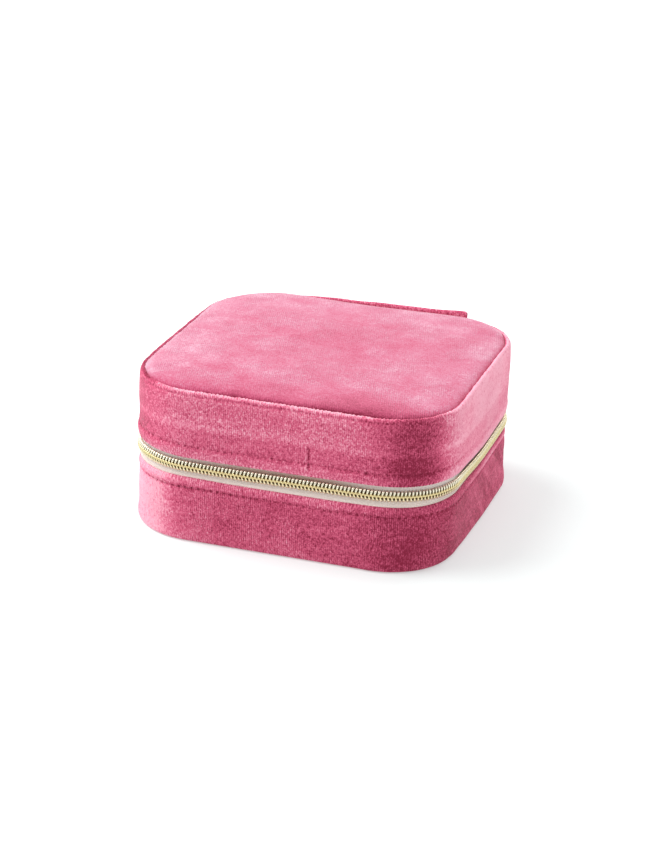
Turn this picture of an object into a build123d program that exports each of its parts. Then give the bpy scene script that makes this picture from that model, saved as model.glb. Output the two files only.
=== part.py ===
from build123d import *
import os

# Zip-around velvet jewelry box: a board lid and a board base, padded and
# covered in velvet, joined by a velvet hinge patch at the back and closed by a
# coil zip that runs round the other three sides. Millimetres, +Z up, origin at
# the centre of the underside, front of the box towards -Y.

# ---------------------------------------------------------------- sizes
WIDTH = 100.0            # across the front, X
DEPTH = 98.0             # front to back, Y
CORNER = 22.4            # outer corner radius in plan
RIM_Z = 47.9             # top of the lid's velvet side band
CROWN_Z = 48.9           # top of the padded lid panel
ZIP_Z = 23.9             # centre line of the zip chain
GAP = 0.3                # half of the gap between the two halves of the chain

LID_EDGE_Z = 27.2        # lower fold of the lid's side band
BASE_EDGE_Z = 19.5       # upper fold of the base's side band

VELVET = 1.9             # side band thickness, pile and backing, folded hem
TAPE_IN, TAPE_OUT = 2.3, 1.9     # zip tape, distances in from the outer face
FOAM_IN = 3.5            # inner face of the side padding
BOARD_IN = 5.5           # inner face of the 2 mm board
LINING_IN = 6.2          # inner face of the lining
BOARD_T = 2.0
PANEL_IN = 2.0           # the lid panel starts this far in from the outer face

LID_BOARD_Z = 24.0       # lower rim of the lid board
BASE_BOARD_Z = 23.8      # upper rim of the base board
LID_BOARD_TOP = 44.6
LID_FOAM_T = 2.2
BASE_SKIN = 1.2          # velvet under the base
FLOOR_Z = BASE_SKIN + BOARD_T + 0.7

COIL_OUT, COIL_IN, COIL_H = 0.1, 1.8, 2.0    # chain: radial span, half height

DIVIDER_T = 2.0
DIVIDER_TOP = 21.5
LONG_DIVIDER_Y = 0.9
SHORT_DIVIDER_X = 14.6
ROLL_W, ROLL_H, ROLL_PITCH = 13.0, 16.0, 13.4

PATCH_X0, PATCH_X1 = -28.0, 30.0     # hinge patch, left and right edges
PATCH_T = 1.3
PATCH_Y = DEPTH / 2 + 0.05

SLIDER_Y = 21.0          # slider centre, at the rear of the left side
SLIDER_L = 9.0
LEG_PITCH = 6.5          # spacing of the bridge's two legs
LEG_R = 0.8
PULL_T = 1.2
PULL_W = 2.0             # mid plane of the pull, out from the side of the box

FACE_X = -WIDTH / 2      # left side of the box, where the slider runs

os.makedirs("parts", exist_ok=True)


def plan(inset):
    """The box's plan outline, moved in by inset, in the current sketch."""
    return RectangleRounded(WIDTH - 2 * inset, DEPTH - 2 * inset, CORNER - inset)


def ring(outer, inner):
    """A wall in plan between two insets, in the current sketch."""
    plan(outer)
    RectangleRounded(
        WIDTH - 2 * inner, DEPTH - 2 * inner, CORNER - inner, mode=Mode.SUBTRACT
    )


# ---------------------------------------------------------------- lid
with BuildPart() as lid_board:
    with BuildSketch(Plane.XY.offset(LID_BOARD_Z)):
        plan(FOAM_IN)
    extrude(amount=LID_BOARD_TOP - LID_BOARD_Z)
    with BuildSketch(Plane.XY.offset(LID_BOARD_Z)):
        plan(BOARD_IN)
    extrude(amount=LID_BOARD_TOP - BOARD_T - LID_BOARD_Z, mode=Mode.SUBTRACT)
    fillet(lid_board.faces().sort_by(Axis.Z)[-1].edges(), 1.0)
lid_board.part.label = "lid_board"

with BuildPart() as lid_side_foam:
    with BuildSketch(Plane.XY.offset(28.0)):
        ring(TAPE_IN, FOAM_IN)
    extrude(amount=LID_BOARD_TOP - 28.0)
    with BuildSketch(Plane.XY.offset(33.0)):
        ring(VELVET, FOAM_IN)
    extrude(amount=LID_BOARD_TOP - 33.0)
lid_side_foam.part.label = "lid_side_foam"

with BuildPart() as lid_top_foam:
    with BuildSketch(Plane.XY.offset(LID_BOARD_TOP)):
        plan(PANEL_IN)
    extrude(amount=LID_FOAM_T)
lid_top_foam.part.label = "lid_top_foam"

with BuildPart() as lid_side_velvet:
    with BuildSketch(Plane.XY.offset(LID_EDGE_Z)):
        ring(0.0, VELVET)
    extrude(amount=RIM_Z - LID_EDGE_Z)
    outer_top = (
        lid_side_velvet.faces().sort_by(Axis.Z)[-1].outer_wire().edges()
    )
    fillet(outer_top, 1.6)
    outer_low = (
        lid_side_velvet.faces().sort_by(Axis.Z)[0].outer_wire().edges()
    )
    fillet(outer_low, 0.6)
lid_side_velvet.part.label = "lid_side_velvet"

with BuildPart() as lid_top_velvet:
    with BuildSketch(Plane.XY.offset(LID_BOARD_TOP + LID_FOAM_T)):
        plan(PANEL_IN)
    extrude(amount=CROWN_Z - LID_BOARD_TOP - LID_FOAM_T)
    fillet(lid_top_velvet.faces().sort_by(Axis.Z)[-1].edges(), 1.6)
lid_top_velvet.part.label = "lid_top_velvet"

with BuildPart() as lid_lining:
    with BuildSketch(Plane.XY.offset(LID_BOARD_Z + 0.4)):
        ring(BOARD_IN, LINING_IN)
    extrude(amount=LID_BOARD_TOP - BOARD_T - LID_BOARD_Z - 0.4)
lid_lining.part.label = "lid_lining"

MIRROR = 58.0
PANEL_Z = LID_BOARD_TOP - BOARD_T - 2.0      # face of the mirror panel
with BuildPart() as mirror_panel:
    with BuildSketch(Plane.XY.offset(PANEL_Z)):
        plan(LINING_IN + 0.1)
        RectangleRounded(MIRROR + 0.4, MIRROR + 0.4, 6.2, mode=Mode.SUBTRACT)
    extrude(amount=1.3)
    with BuildSketch(Plane.XY.offset(PANEL_Z + 1.3)):
        plan(LINING_IN + 0.1)
    extrude(amount=0.7)
mirror_panel.part.label = "mirror_panel"

with BuildPart() as mirror:
    with BuildSketch(Plane.XY.offset(PANEL_Z + 0.1)):
        RectangleRounded(MIRROR, MIRROR, 6.0)
    extrude(amount=1.2)
    chamfer(mirror.faces().sort_by(Axis.Z)[0].edges(), 0.4)
mirror.part.label = "mirror"

# ---------------------------------------------------------------- base
with BuildPart() as base_board:
    with BuildSketch(Plane.XY.offset(BASE_SKIN)):
        plan(FOAM_IN)
    extrude(amount=BASE_BOARD_Z - BASE_SKIN)
    with BuildSketch(Plane.XY.offset(BASE_SKIN + BOARD_T)):
        plan(BOARD_IN)
    extrude(amount=BASE_BOARD_Z - BASE_SKIN - BOARD_T, mode=Mode.SUBTRACT)
base_board.part.label = "base_board"

with BuildPart() as base_side_foam:
    with BuildSketch(Plane.XY.offset(BASE_SKIN)):
        ring(VELVET, FOAM_IN)
    extrude(amount=14.6 - BASE_SKIN)
    with BuildSketch(Plane.XY.offset(14.6)):
        ring(TAPE_IN, FOAM_IN)
    extrude(amount=19.6 - 14.6)
base_side_foam.part.label = "base_side_foam"

with BuildPart() as base_side_velvet:
    with BuildSketch(Plane.XY.offset(0.2)):
        ring(0.0, VELVET)
    extrude(amount=BASE_EDGE_Z - 0.2)
    low_edges = (
        base_side_velvet.faces().sort_by(Axis.Z)[0].outer_wire().edges()
    )
    fillet(low_edges, 1.3)
    high_edges = (
        base_side_velvet.faces().sort_by(Axis.Z)[-1].outer_wire().edges()
    )
    fillet(high_edges, 0.6)
base_side_velvet.part.label = "base_side_velvet"

with BuildPart() as base_bottom_velvet:
    with BuildSketch():
        plan(PANEL_IN)
    extrude(amount=BASE_SKIN)
base_bottom_velvet.part.label = "base_bottom_velvet"

with BuildPart() as base_lining:
    with BuildSketch(Plane.XY.offset(BASE_SKIN + BOARD_T)):
        ring(BOARD_IN, LINING_IN)
    extrude(amount=BASE_BOARD_Z - 0.4 - BASE_SKIN - BOARD_T)
base_lining.part.label = "base_lining"

with BuildPart() as floor_pad:
    with BuildSketch(Plane.XY.offset(BASE_SKIN + BOARD_T)):
        plan(LINING_IN)
    extrude(amount=0.7)
floor_pad.part.label = "floor_pad"

# ---------------------------------------------------------------- tray
INNER_W = WIDTH / 2 - LINING_IN
INNER_D = DEPTH / 2 - LINING_IN

with BuildPart() as divider_long:
    with BuildSketch(Plane.XY.offset(FLOOR_Z)):
        with Locations((0, LONG_DIVIDER_Y)):
            Rectangle(2 * INNER_W, DIVIDER_T)
    extrude(amount=DIVIDER_TOP - FLOOR_Z)
    fillet(divider_long.faces().sort_by(Axis.Z)[-1].edges().filter_by(Axis.X), 0.9)
divider_long.part.label = "divider_long"

SHORT_Y0 = LONG_DIVIDER_Y + DIVIDER_T / 2
with BuildPart() as divider_left:
    with BuildSketch(Plane.XY.offset(FLOOR_Z)):
        with Locations((-SHORT_DIVIDER_X, (SHORT_Y0 + INNER_D) / 2)):
            Rectangle(DIVIDER_T, INNER_D - SHORT_Y0)
    extrude(amount=DIVIDER_TOP - FLOOR_Z)
    fillet(divider_left.faces().sort_by(Axis.Z)[-1].edges().filter_by(Axis.Y), 0.9)
divider_left.part.label = "divider_left"

with BuildPart() as divider_right:
    with BuildSketch(Plane.XY.offset(FLOOR_Z)):
        with Locations((SHORT_DIVIDER_X, (SHORT_Y0 + INNER_D) / 2)):
            Rectangle(DIVIDER_T, INNER_D - SHORT_Y0)
    extrude(amount=DIVIDER_TOP - FLOOR_Z)
    fillet(divider_right.faces().sort_by(Axis.Z)[-1].edges().filter_by(Axis.Y), 0.9)
divider_right.part.label = "divider_right"

ROLL_REAR_Y = LONG_DIVIDER_Y - DIVIDER_T / 2 - 0.4 - ROLL_W / 2


def roll_profile():
    """Upright rounded section of a ring roll, in the current sketch."""
    with Locations((0, ROLL_H / 2)):
        RectangleRounded(ROLL_W, ROLL_H, ROLL_W / 2 - 0.4)


with BuildPart() as ring_roll_rear:
    with BuildSketch(
        Plane((-INNER_W + 0.3, ROLL_REAR_Y, FLOOR_Z), x_dir=(0, 1, 0), z_dir=(1, 0, 0))
    ):
        roll_profile()
    extrude(amount=2 * INNER_W - 0.6)
ring_roll_rear.part.label = "ring_roll_rear"

with BuildPart() as ring_roll_middle:
    with BuildSketch(
        Plane(
            (-INNER_W + 1.2, ROLL_REAR_Y - ROLL_PITCH, FLOOR_Z),
            x_dir=(0, 1, 0),
            z_dir=(1, 0, 0),
        )
    ):
        roll_profile()
    extrude(amount=2 * INNER_W - 2.4)
ring_roll_middle.part.label = "ring_roll_middle"

with BuildPart() as ring_roll_front:
    with BuildSketch(
        Plane(
            (-INNER_W + 10.6, ROLL_REAR_Y - 2 * ROLL_PITCH, FLOOR_Z),
            x_dir=(0, 1, 0),
            z_dir=(1, 0, 0),
        )
    ):
        roll_profile()
    extrude(amount=2 * INNER_W - 21.2)
    with BuildSketch(Plane.XY.offset(FLOOR_Z - 1)):
        plan(LINING_IN + 0.3)
    extrude(amount=ROLL_H + 2, mode=Mode.INTERSECT)
ring_roll_front.part.label = "ring_roll_front"

# ---------------------------------------------------------------- zip
ARC_Y = DEPTH / 2 - CORNER       # where the rear corners start
with BuildPart() as zip_tape_lid:
    with BuildSketch(Plane.XY.offset(ZIP_Z + GAP)):
        ring(TAPE_OUT, TAPE_IN)
        with Locations((1.0, DEPTH / 2)):
            Rectangle(46.0, 12.0, mode=Mode.SUBTRACT)
    extrude(amount=8.4)
zip_tape_lid.part.label = "zip_tape_lid"

with BuildPart() as zip_tape_base:
    with BuildSketch(Plane.XY.offset(ZIP_Z - GAP - 8.4)):
        ring(TAPE_OUT, TAPE_IN)
        with Locations((1.0, DEPTH / 2)):
            Rectangle(46.0, 12.0, mode=Mode.SUBTRACT)
    extrude(amount=8.4)
zip_tape_base.part.label = "zip_tape_base"

# The chain runs round both rear corners as far as the hinge patch.
CHAIN_X0, CHAIN_X1 = -30.7, 30.5


def chain_plan():
    """Plan of the coil chain, in the current sketch."""
    ring(COIL_OUT, COIL_IN)
    with Locations(((CHAIN_X0 + CHAIN_X1) / 2, DEPTH / 2)):
        Rectangle(CHAIN_X1 - CHAIN_X0, 12.0, mode=Mode.SUBTRACT)


with BuildPart() as zip_coil_lid:
    with BuildSketch(Plane.XY.offset(ZIP_Z + GAP)):
        chain_plan()
    extrude(amount=COIL_H - GAP)
zip_coil_lid.part.label = "zip_coil_lid"

with BuildPart() as zip_coil_base:
    with BuildSketch(Plane.XY.offset(ZIP_Z - COIL_H)):
        chain_plan()
    extrude(amount=COIL_H - GAP)
zip_coil_base.part.label = "zip_coil_base"

# Crimped stops at the closing end of the chain, beside the patch.
STOP_X = -29.7
ARC_X = WIDTH / 2 - CORNER
STOP_R = CORNER - 1.0
STOP_COS = (-STOP_X - ARC_X) / STOP_R
STOP_SIN = (1 - STOP_COS**2) ** 0.5
STOP_Y = ARC_Y + STOP_R * STOP_SIN

with BuildPart() as zip_stop_lid:
    with Locations(
        Plane((STOP_X, STOP_Y, ZIP_Z + 1.35), x_dir=(STOP_SIN, STOP_COS, 0), z_dir=(0, 0, 1))
    ):
        Box(1.6, 1.6, 1.9)
    fillet(zip_stop_lid.edges().filter_by(Axis.Z), 0.4)
zip_stop_lid.part.label = "zip_stop_lid"

with BuildPart() as zip_stop_base:
    with Locations(
        Plane((STOP_X, STOP_Y, ZIP_Z - 1.35), x_dir=(STOP_SIN, STOP_COS, 0), z_dir=(0, 0, 1))
    ):
        Box(1.6, 1.6, 1.9)
    fillet(zip_stop_base.edges().filter_by(Axis.Z), 0.4)
zip_stop_base.part.label = "zip_stop_base"

# Slider: an outer and an inner plate joined by the wedge post at the mouth,
# which faces the hinge, with a lip round the lower edge of the chain. The lid
# half of the chain can leave upwards.
SLIDER_HALF = 3.1        # half height at the mouth
TAIL_HALF = 2.5          # half height at the tail


# Shield outline of a slider plate, mouth towards +x.
SHIELD = [
    (-SLIDER_L / 2, -TAIL_HALF), (-0.4, -SLIDER_HALF),
    (SLIDER_L / 2, -SLIDER_HALF), (SLIDER_L / 2, SLIDER_HALF),
    (-0.4, SLIDER_HALF), (-SLIDER_L / 2, TAIL_HALF),
]

with BuildPart() as zip_slider:
    with BuildSketch(
        Plane((FACE_X - 0.1, SLIDER_Y, ZIP_Z), x_dir=(0, 1, 0), z_dir=(-1, 0, 0))
    ) as outer_plate:
        with BuildLine():
            Polyline(*SHIELD, close=True)
        make_face()
        fillet(outer_plate.vertices(), 1.2)
    extrude(amount=0.9)
    fillet(zip_slider.faces().sort_by(Axis.X)[0].edges(), 0.35)
    with BuildSketch(
        Plane((FACE_X + 2.5, SLIDER_Y, ZIP_Z), x_dir=(0, 1, 0), z_dir=(1, 0, 0))
    ) as inner_plate:
        with BuildLine():
            Polyline(*SHIELD, close=True)
        make_face()
        fillet(inner_plate.vertices(), 1.2)
    extrude(amount=0.7)
    with Locations((FACE_X + 1.2, SLIDER_Y + SLIDER_L / 2 - 1.6, ZIP_Z)):
        Box(2.8, 2.0, 0.4)
    with Locations((FACE_X + 0.8, SLIDER_Y + 0.6, ZIP_Z - 2.7)):
        Box(1.9, SLIDER_L - 4.0, 0.8)
    with Locations(
        Plane((FACE_X - 0.9, SLIDER_Y, ZIP_Z), x_dir=(0, 1, 0), z_dir=(-1, 0, 0))
    ):
        with Locations((-LEG_PITCH / 2, 0), (LEG_PITCH / 2, 0)):
            Cylinder(LEG_R, 2.4, align=(Align.CENTER, Align.CENTER, Align.MIN))
    with Locations((FACE_X - 3.6, SLIDER_Y, ZIP_Z)):
        Box(0.9, LEG_PITCH + 2 * LEG_R + 0.2, 1.9)
    bar_ends = zip_slider.faces().sort_by(Axis.X)[0].edges()
    fillet(bar_ends, 0.35)
zip_slider.part.label = "zip_slider"

# Pull: hangs by its eye on the slider's rear leg.
PIVOT_Y = SLIDER_Y + LEG_PITCH / 2
EYE_R, EYE_HOLE, EYE_DROP = 2.7, 1.5, 0.5
with BuildPart() as zip_pull:
    with BuildSketch(
        Plane(
            (FACE_X - PULL_W + PULL_T / 2, PIVOT_Y, ZIP_Z),
            x_dir=(0, 1, 0),
            z_dir=(-1, 0, 0),
        )
    ) as pull_face:
        with Locations((0, EYE_DROP)):
            Circle(EYE_R)
        with BuildLine():
            Polyline((-1.7, 1.5), (1.7, 1.5), (2.9, 15.6), (-2.9, 15.6), close=True)
        make_face()
        with Locations((0, 15.6)):
            Circle(2.9)
        with Locations((0, EYE_DROP)):
            Circle(EYE_HOLE, mode=Mode.SUBTRACT)
        with Locations((0, 15.2)):
            Circle(1.3, mode=Mode.SUBTRACT)
    extrude(amount=PULL_T)
zip_pull.part.label = "zip_pull"

# ---------------------------------------------------------------- hinge patch
with BuildPart() as hinge_patch_lid:
    with BuildSketch(Plane.XY.offset(27.9)):
        with Locations(((PATCH_X0 + PATCH_X1) / 2, PATCH_Y + PATCH_T / 2)):
            Rectangle(PATCH_X1 - PATCH_X0, PATCH_T)
    extrude(amount=49.1 - 27.9)
    fillet(
        hinge_patch_lid.faces().sort_by(Axis.Z)[-1].edges().filter_by(Axis.X), 0.5
    )
hinge_patch_lid.part.label = "hinge_patch_lid"

with BuildPart() as hinge_patch_base:
    with BuildSketch(Plane.XY.offset(5.0)):
        with Locations(((PATCH_X0 + PATCH_X1) / 2, PATCH_Y + PATCH_T / 2)):
            Rectangle(PATCH_X1 - PATCH_X0, PATCH_T)
    extrude(amount=19.9 - 5.0)
hinge_patch_base.part.label = "hinge_patch_base"

# ---------------------------------------------------------------- export
for made in (
    lid_board, lid_side_foam, lid_top_foam, lid_side_velvet, lid_top_velvet,
    lid_lining, mirror_panel, mirror,
    base_board, base_side_foam, base_side_velvet, base_bottom_velvet,
    base_lining, floor_pad, divider_long, divider_left, divider_right,
    ring_roll_rear, ring_roll_middle, ring_roll_front,
    zip_tape_lid, zip_tape_base, zip_coil_lid, zip_coil_base,
    zip_stop_lid, zip_stop_base, zip_slider, zip_pull,
    hinge_patch_lid, hinge_patch_base,
):
    export_step(made.part, f"parts/{made.part.label}.step")
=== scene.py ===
import math

import bpy
import numpy as np
from mathutils import Matrix, Vector, noise


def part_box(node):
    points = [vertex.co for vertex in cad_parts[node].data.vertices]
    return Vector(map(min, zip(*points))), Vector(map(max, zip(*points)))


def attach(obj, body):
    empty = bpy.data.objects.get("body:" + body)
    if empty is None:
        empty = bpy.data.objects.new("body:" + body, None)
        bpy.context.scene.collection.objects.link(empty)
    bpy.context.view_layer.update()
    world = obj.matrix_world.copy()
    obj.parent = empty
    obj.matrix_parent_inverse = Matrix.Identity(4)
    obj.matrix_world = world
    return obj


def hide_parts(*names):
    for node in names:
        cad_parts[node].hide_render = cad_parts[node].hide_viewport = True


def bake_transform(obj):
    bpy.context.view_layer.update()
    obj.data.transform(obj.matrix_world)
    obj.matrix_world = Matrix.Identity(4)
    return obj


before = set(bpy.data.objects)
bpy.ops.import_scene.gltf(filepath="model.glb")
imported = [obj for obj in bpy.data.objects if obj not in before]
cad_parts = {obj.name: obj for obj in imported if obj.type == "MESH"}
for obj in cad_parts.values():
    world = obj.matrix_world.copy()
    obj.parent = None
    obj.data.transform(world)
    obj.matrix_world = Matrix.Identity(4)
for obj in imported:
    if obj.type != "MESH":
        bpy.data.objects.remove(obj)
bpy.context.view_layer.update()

MM = 0.001

# ------------------------------------------------------------------ sizes, mm
W, D, R = 100.0, 98.0, 22.4
ARC_X, ARC_Y = W / 2 - R, D / 2 - R
ZIP_Z = 23.9
QUARTER = R * math.pi / 2
LENGTH = 4 * ARC_X + 4 * ARC_Y + 4 * QUARTER
FLOOR_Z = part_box("floor_pad")[1].z / MM
LEFT_START = ARC_X + QUARTER          # run where the left side starts
RIB = 0.62                            # pitch of the pile's rows
PITCH = 1.14                          # pitch of the zip's coil


def outline(u):
    """Points, outward normals and forward directions at runs u round the box, from the middle of the back, by way of the left side."""
    u = np.mod(np.asarray(u, float), LENGTH)
    p, n = np.zeros((len(u), 2)), np.zeros((len(u), 2))
    edges = [ARC_X, QUARTER, 2 * ARC_Y, QUARTER, 2 * ARC_X, QUARTER, 2 * ARC_Y, QUARTER, ARC_X]
    starts = np.concatenate([[0], np.cumsum(edges)])
    corner = {1: (-ARC_X, ARC_Y, 90), 3: (-ARC_X, -ARC_Y, 180), 5: (ARC_X, -ARC_Y, 270), 7: (ARC_X, ARC_Y, 0)}
    line = {
        0: ((0, D / 2), (-1, 0)), 2: ((-W / 2, ARC_Y), (0, -1)), 4: ((-ARC_X, -D / 2), (1, 0)),
        6: ((W / 2, -ARC_Y), (0, 1)), 8: ((ARC_X, D / 2), (-1, 0)),
    }
    for k in range(9):
        m = (u >= starts[k]) & (u <= starts[k + 1] + (1e-9 if k == 8 else 0))
        t = u[m] - starts[k]
        if k in corner:
            cx, cy, a0 = corner[k]
            a = np.radians(a0) + t / R
            n[m] = np.stack([np.cos(a), np.sin(a)], 1)
            p[m] = np.array([cx, cy]) + R * n[m]
        else:
            (x, y), (dx, dy) = line[k]
            p[m] = np.array([x, y]) + t[:, None] * np.array([dx, dy])
            n[m] = (dy, -dx)
    return p, n, np.stack([-n[:, 1], n[:, 0]], 1)


def smooth(a, b, x):
    t = np.clip((x - a) / (b - a), 0, 1)
    return t * t * (3 - 2 * t)


def field(points, scale, seed, octaves=2):
    """Smooth noise at points in mm, features about scale mm across."""
    off = Vector((seed * 17.3, seed * 5.1, seed * 9.7))
    out = np.empty(len(points))
    for i, q in enumerate(points):
        v = Vector((q[0] / scale, q[1] / scale, q[2] / scale)) + off
        s, a = 0.0, 1.0
        for _ in range(octaves):
            s += a * noise.noise(v)
            v, a = v * 2.03, a * 0.5
        out[i] = s
    return out


# ------------------------------------------------------------------ meshes
def mesh_object(name, verts, faces, attrs=None, shade=True):
    """A mesh object from points in mm."""
    me = bpy.data.meshes.new(name)
    me.from_pydata((np.asarray(verts, float) * MM).tolist(), [], [tuple(int(i) for i in f) for f in faces])
    for key, values in (attrs or {}).items():
        values = np.asarray(values, np.float32)
        if values.ndim == 1:
            me.attributes.new(key, "FLOAT", "POINT").data.foreach_set("value", values)
        else:
            me.attributes.new(key, "FLOAT_VECTOR", "POINT").data.foreach_set("vector", values.ravel())
    me.validate()
    me.update()
    if shade:
        me.shade_smooth()
    ob = bpy.data.objects.new(name, me)
    bpy.context.scene.collection.objects.link(ob)
    return ob


def grid_faces(rows, cols, wrap_r=False, wrap_c=False):
    """Quads over a rows x cols grid of points."""
    r = np.arange(rows if wrap_r else rows - 1)
    c = np.arange(cols if wrap_c else cols - 1)
    rr, cc = np.meshgrid(r, c, indexing="ij")
    r1, c1 = (rr + 1) % rows, (cc + 1) % cols
    return np.stack([rr * cols + cc, r1 * cols + cc, r1 * cols + c1, rr * cols + c1], -1).reshape(-1, 4)


def resample(points, step):
    """A polyline (n, 2) with its corners kept, cut to about step, which is a length or a function of where the cut is."""
    out = [np.array(points[0], float)]
    for a, b in zip(points[:-1], points[1:]):
        a, b = np.array(a, float), np.array(b, float)
        length, t = np.linalg.norm(b - a), 0.0
        d = (b - a) / max(length, 1e-9)
        while True:
            s = step(a + d * t) if callable(step) else step
            if t + 1.4 * s >= length:
                break
            t += s
            out.append(a + d * t)
        out.append(b)
    return np.array(out)


def rounded(points, radius=0.3, steps=4):
    """The polyline with its inner corners rounded."""
    pts = [np.array(p, float) for p in points]
    out = [pts[0]]
    for i in range(1, len(pts) - 1):
        a, b, c = pts[i - 1], pts[i], pts[i + 1]
        la, lc = np.linalg.norm(a - b), np.linalg.norm(c - b)
        r = min(radius, la * 0.49, lc * 0.49)
        p, q = b + (a - b) / la * r, b + (c - b) / lc * r
        for k in range(steps + 1):
            t = k / steps
            out.append((1 - t) ** 2 * p + 2 * t * (1 - t) * b + t * t * q)
    out.append(pts[-1])
    return out


def band(name, profile, step_u, step_v, relief=None, close=True, u_range=None, extra=None, shift=None):
    """Sweeps a profile of (inset, z) round the box. relief(u, v, inset, z, xyz) pushes the points out along the profile's
    normal. With close, the profile is a loop and the band is solid. u_range makes an open length of band with flat ends.
    shift(u, inset, z) then moves points outwards and up where the real thing strays from its line."""
    prof = resample(profile, step_v)
    if close:
        prof = prof[:-1]
    m = len(prof)
    nxt, prv = np.roll(prof, -1, 0), np.roll(prof, 1, 0)
    if not close:
        nxt[-1], prv[0] = prof[-1], prof[0]
    t = nxt - prv
    t /= np.maximum(np.linalg.norm(t, axis=1), 1e-9)[:, None]
    # (inset, z) with inset growing inwards: the outward side is to the left of travel from top to bottom
    pn = np.stack([t[:, 1], -t[:, 0]], 1)
    v = np.concatenate([[0], np.cumsum(np.linalg.norm(np.diff(prof, axis=0), axis=1))])
    if u_range is None:
        n = int(round(LENGTH / step_u))
        u = np.arange(n) * LENGTH / n
    else:
        n = int(round((u_range[1] - u_range[0]) / step_u)) + 1
        u = np.linspace(u_range[0], u_range[1], n)
    p, nn, _ = outline(u)
    U, V = np.meshgrid(u, v, indexing="ij")
    inset = np.broadcast_to(prof[:, 0], (n, m))
    z = np.broadcast_to(prof[:, 1], (n, m))
    xyz = np.empty((n, m, 3))
    xyz[..., :2] = p[:, None] - nn[:, None] * inset[..., None]
    xyz[..., 2] = z
    attrs = {} if extra is None else extra(U, V, inset, z)
    out, rise = (0, 0) if shift is None else shift(U, inset, z)
    if relief is not None:
        h = relief(U, V, inset, z, xyz)
        inset = inset + pn[:, 0] * h
        z = z + pn[:, 1] * h
    inset, z = inset - out, z + rise
    xyz[..., :2] = p[:, None] - nn[:, None] * inset[..., None]
    xyz[..., 2] = z
    verts = xyz.reshape(-1, 3)
    faces = grid_faces(n, m, wrap_r=u_range is None, wrap_c=close)
    faces = faces.tolist()
    if u_range is not None and close:
        faces.append(list(range(m)))
        faces.append([(n - 1) * m + k for k in reversed(range(m))])
    wv = np.stack([U, V, np.zeros_like(U)], -1).reshape(-1, 3)
    ob = mesh_object(name, verts, faces, {"wv": wv, **attrs})
    fix_normals(ob)
    return ob


def fix_normals(ob):
    import bmesh

    bm = bmesh.new()
    bm.from_mesh(ob.data)
    bmesh.ops.recalc_face_normals(bm, faces=bm.faces)
    bm.to_mesh(ob.data)
    bm.free()
    ob.data.shade_smooth()


def tube(name, path, frame_b, radius_b, radius_c, sides=8, caps=True, attrs=None):
    """A tube along path. frame_b is the direction of its first cross axis at each point."""
    path = np.asarray(path, float)
    t = np.gradient(path, axis=0)
    t /= np.linalg.norm(t, axis=1)[:, None]
    b = frame_b - (frame_b * t).sum(1)[:, None] * t
    b /= np.linalg.norm(b, axis=1)[:, None]
    c = np.cross(t, b)
    a = np.arange(sides) * 2 * math.pi / sides
    rb = np.broadcast_to(radius_b, (len(path),))[:, None, None]
    rc = np.broadcast_to(radius_c, (len(path),))[:, None, None]
    ring = path[:, None] + rb * np.cos(a)[None, :, None] * b[:, None] + rc * np.sin(a)[None, :, None] * c[:, None]
    n = len(path)
    verts = ring.reshape(-1, 3)
    faces = grid_faces(n, sides, wrap_c=True).tolist()
    if caps:
        faces.append(list(reversed(range(sides))))
        faces.append([(n - 1) * sides + k for k in range(sides)])
    return verts, faces


def join_parts(parts):
    verts, faces, k = [], [], 0
    for v, f in parts:
        verts.append(v)
        faces += [[i + k for i in q] for q in f]
        k += len(v)
    return np.concatenate(verts), faces


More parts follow.
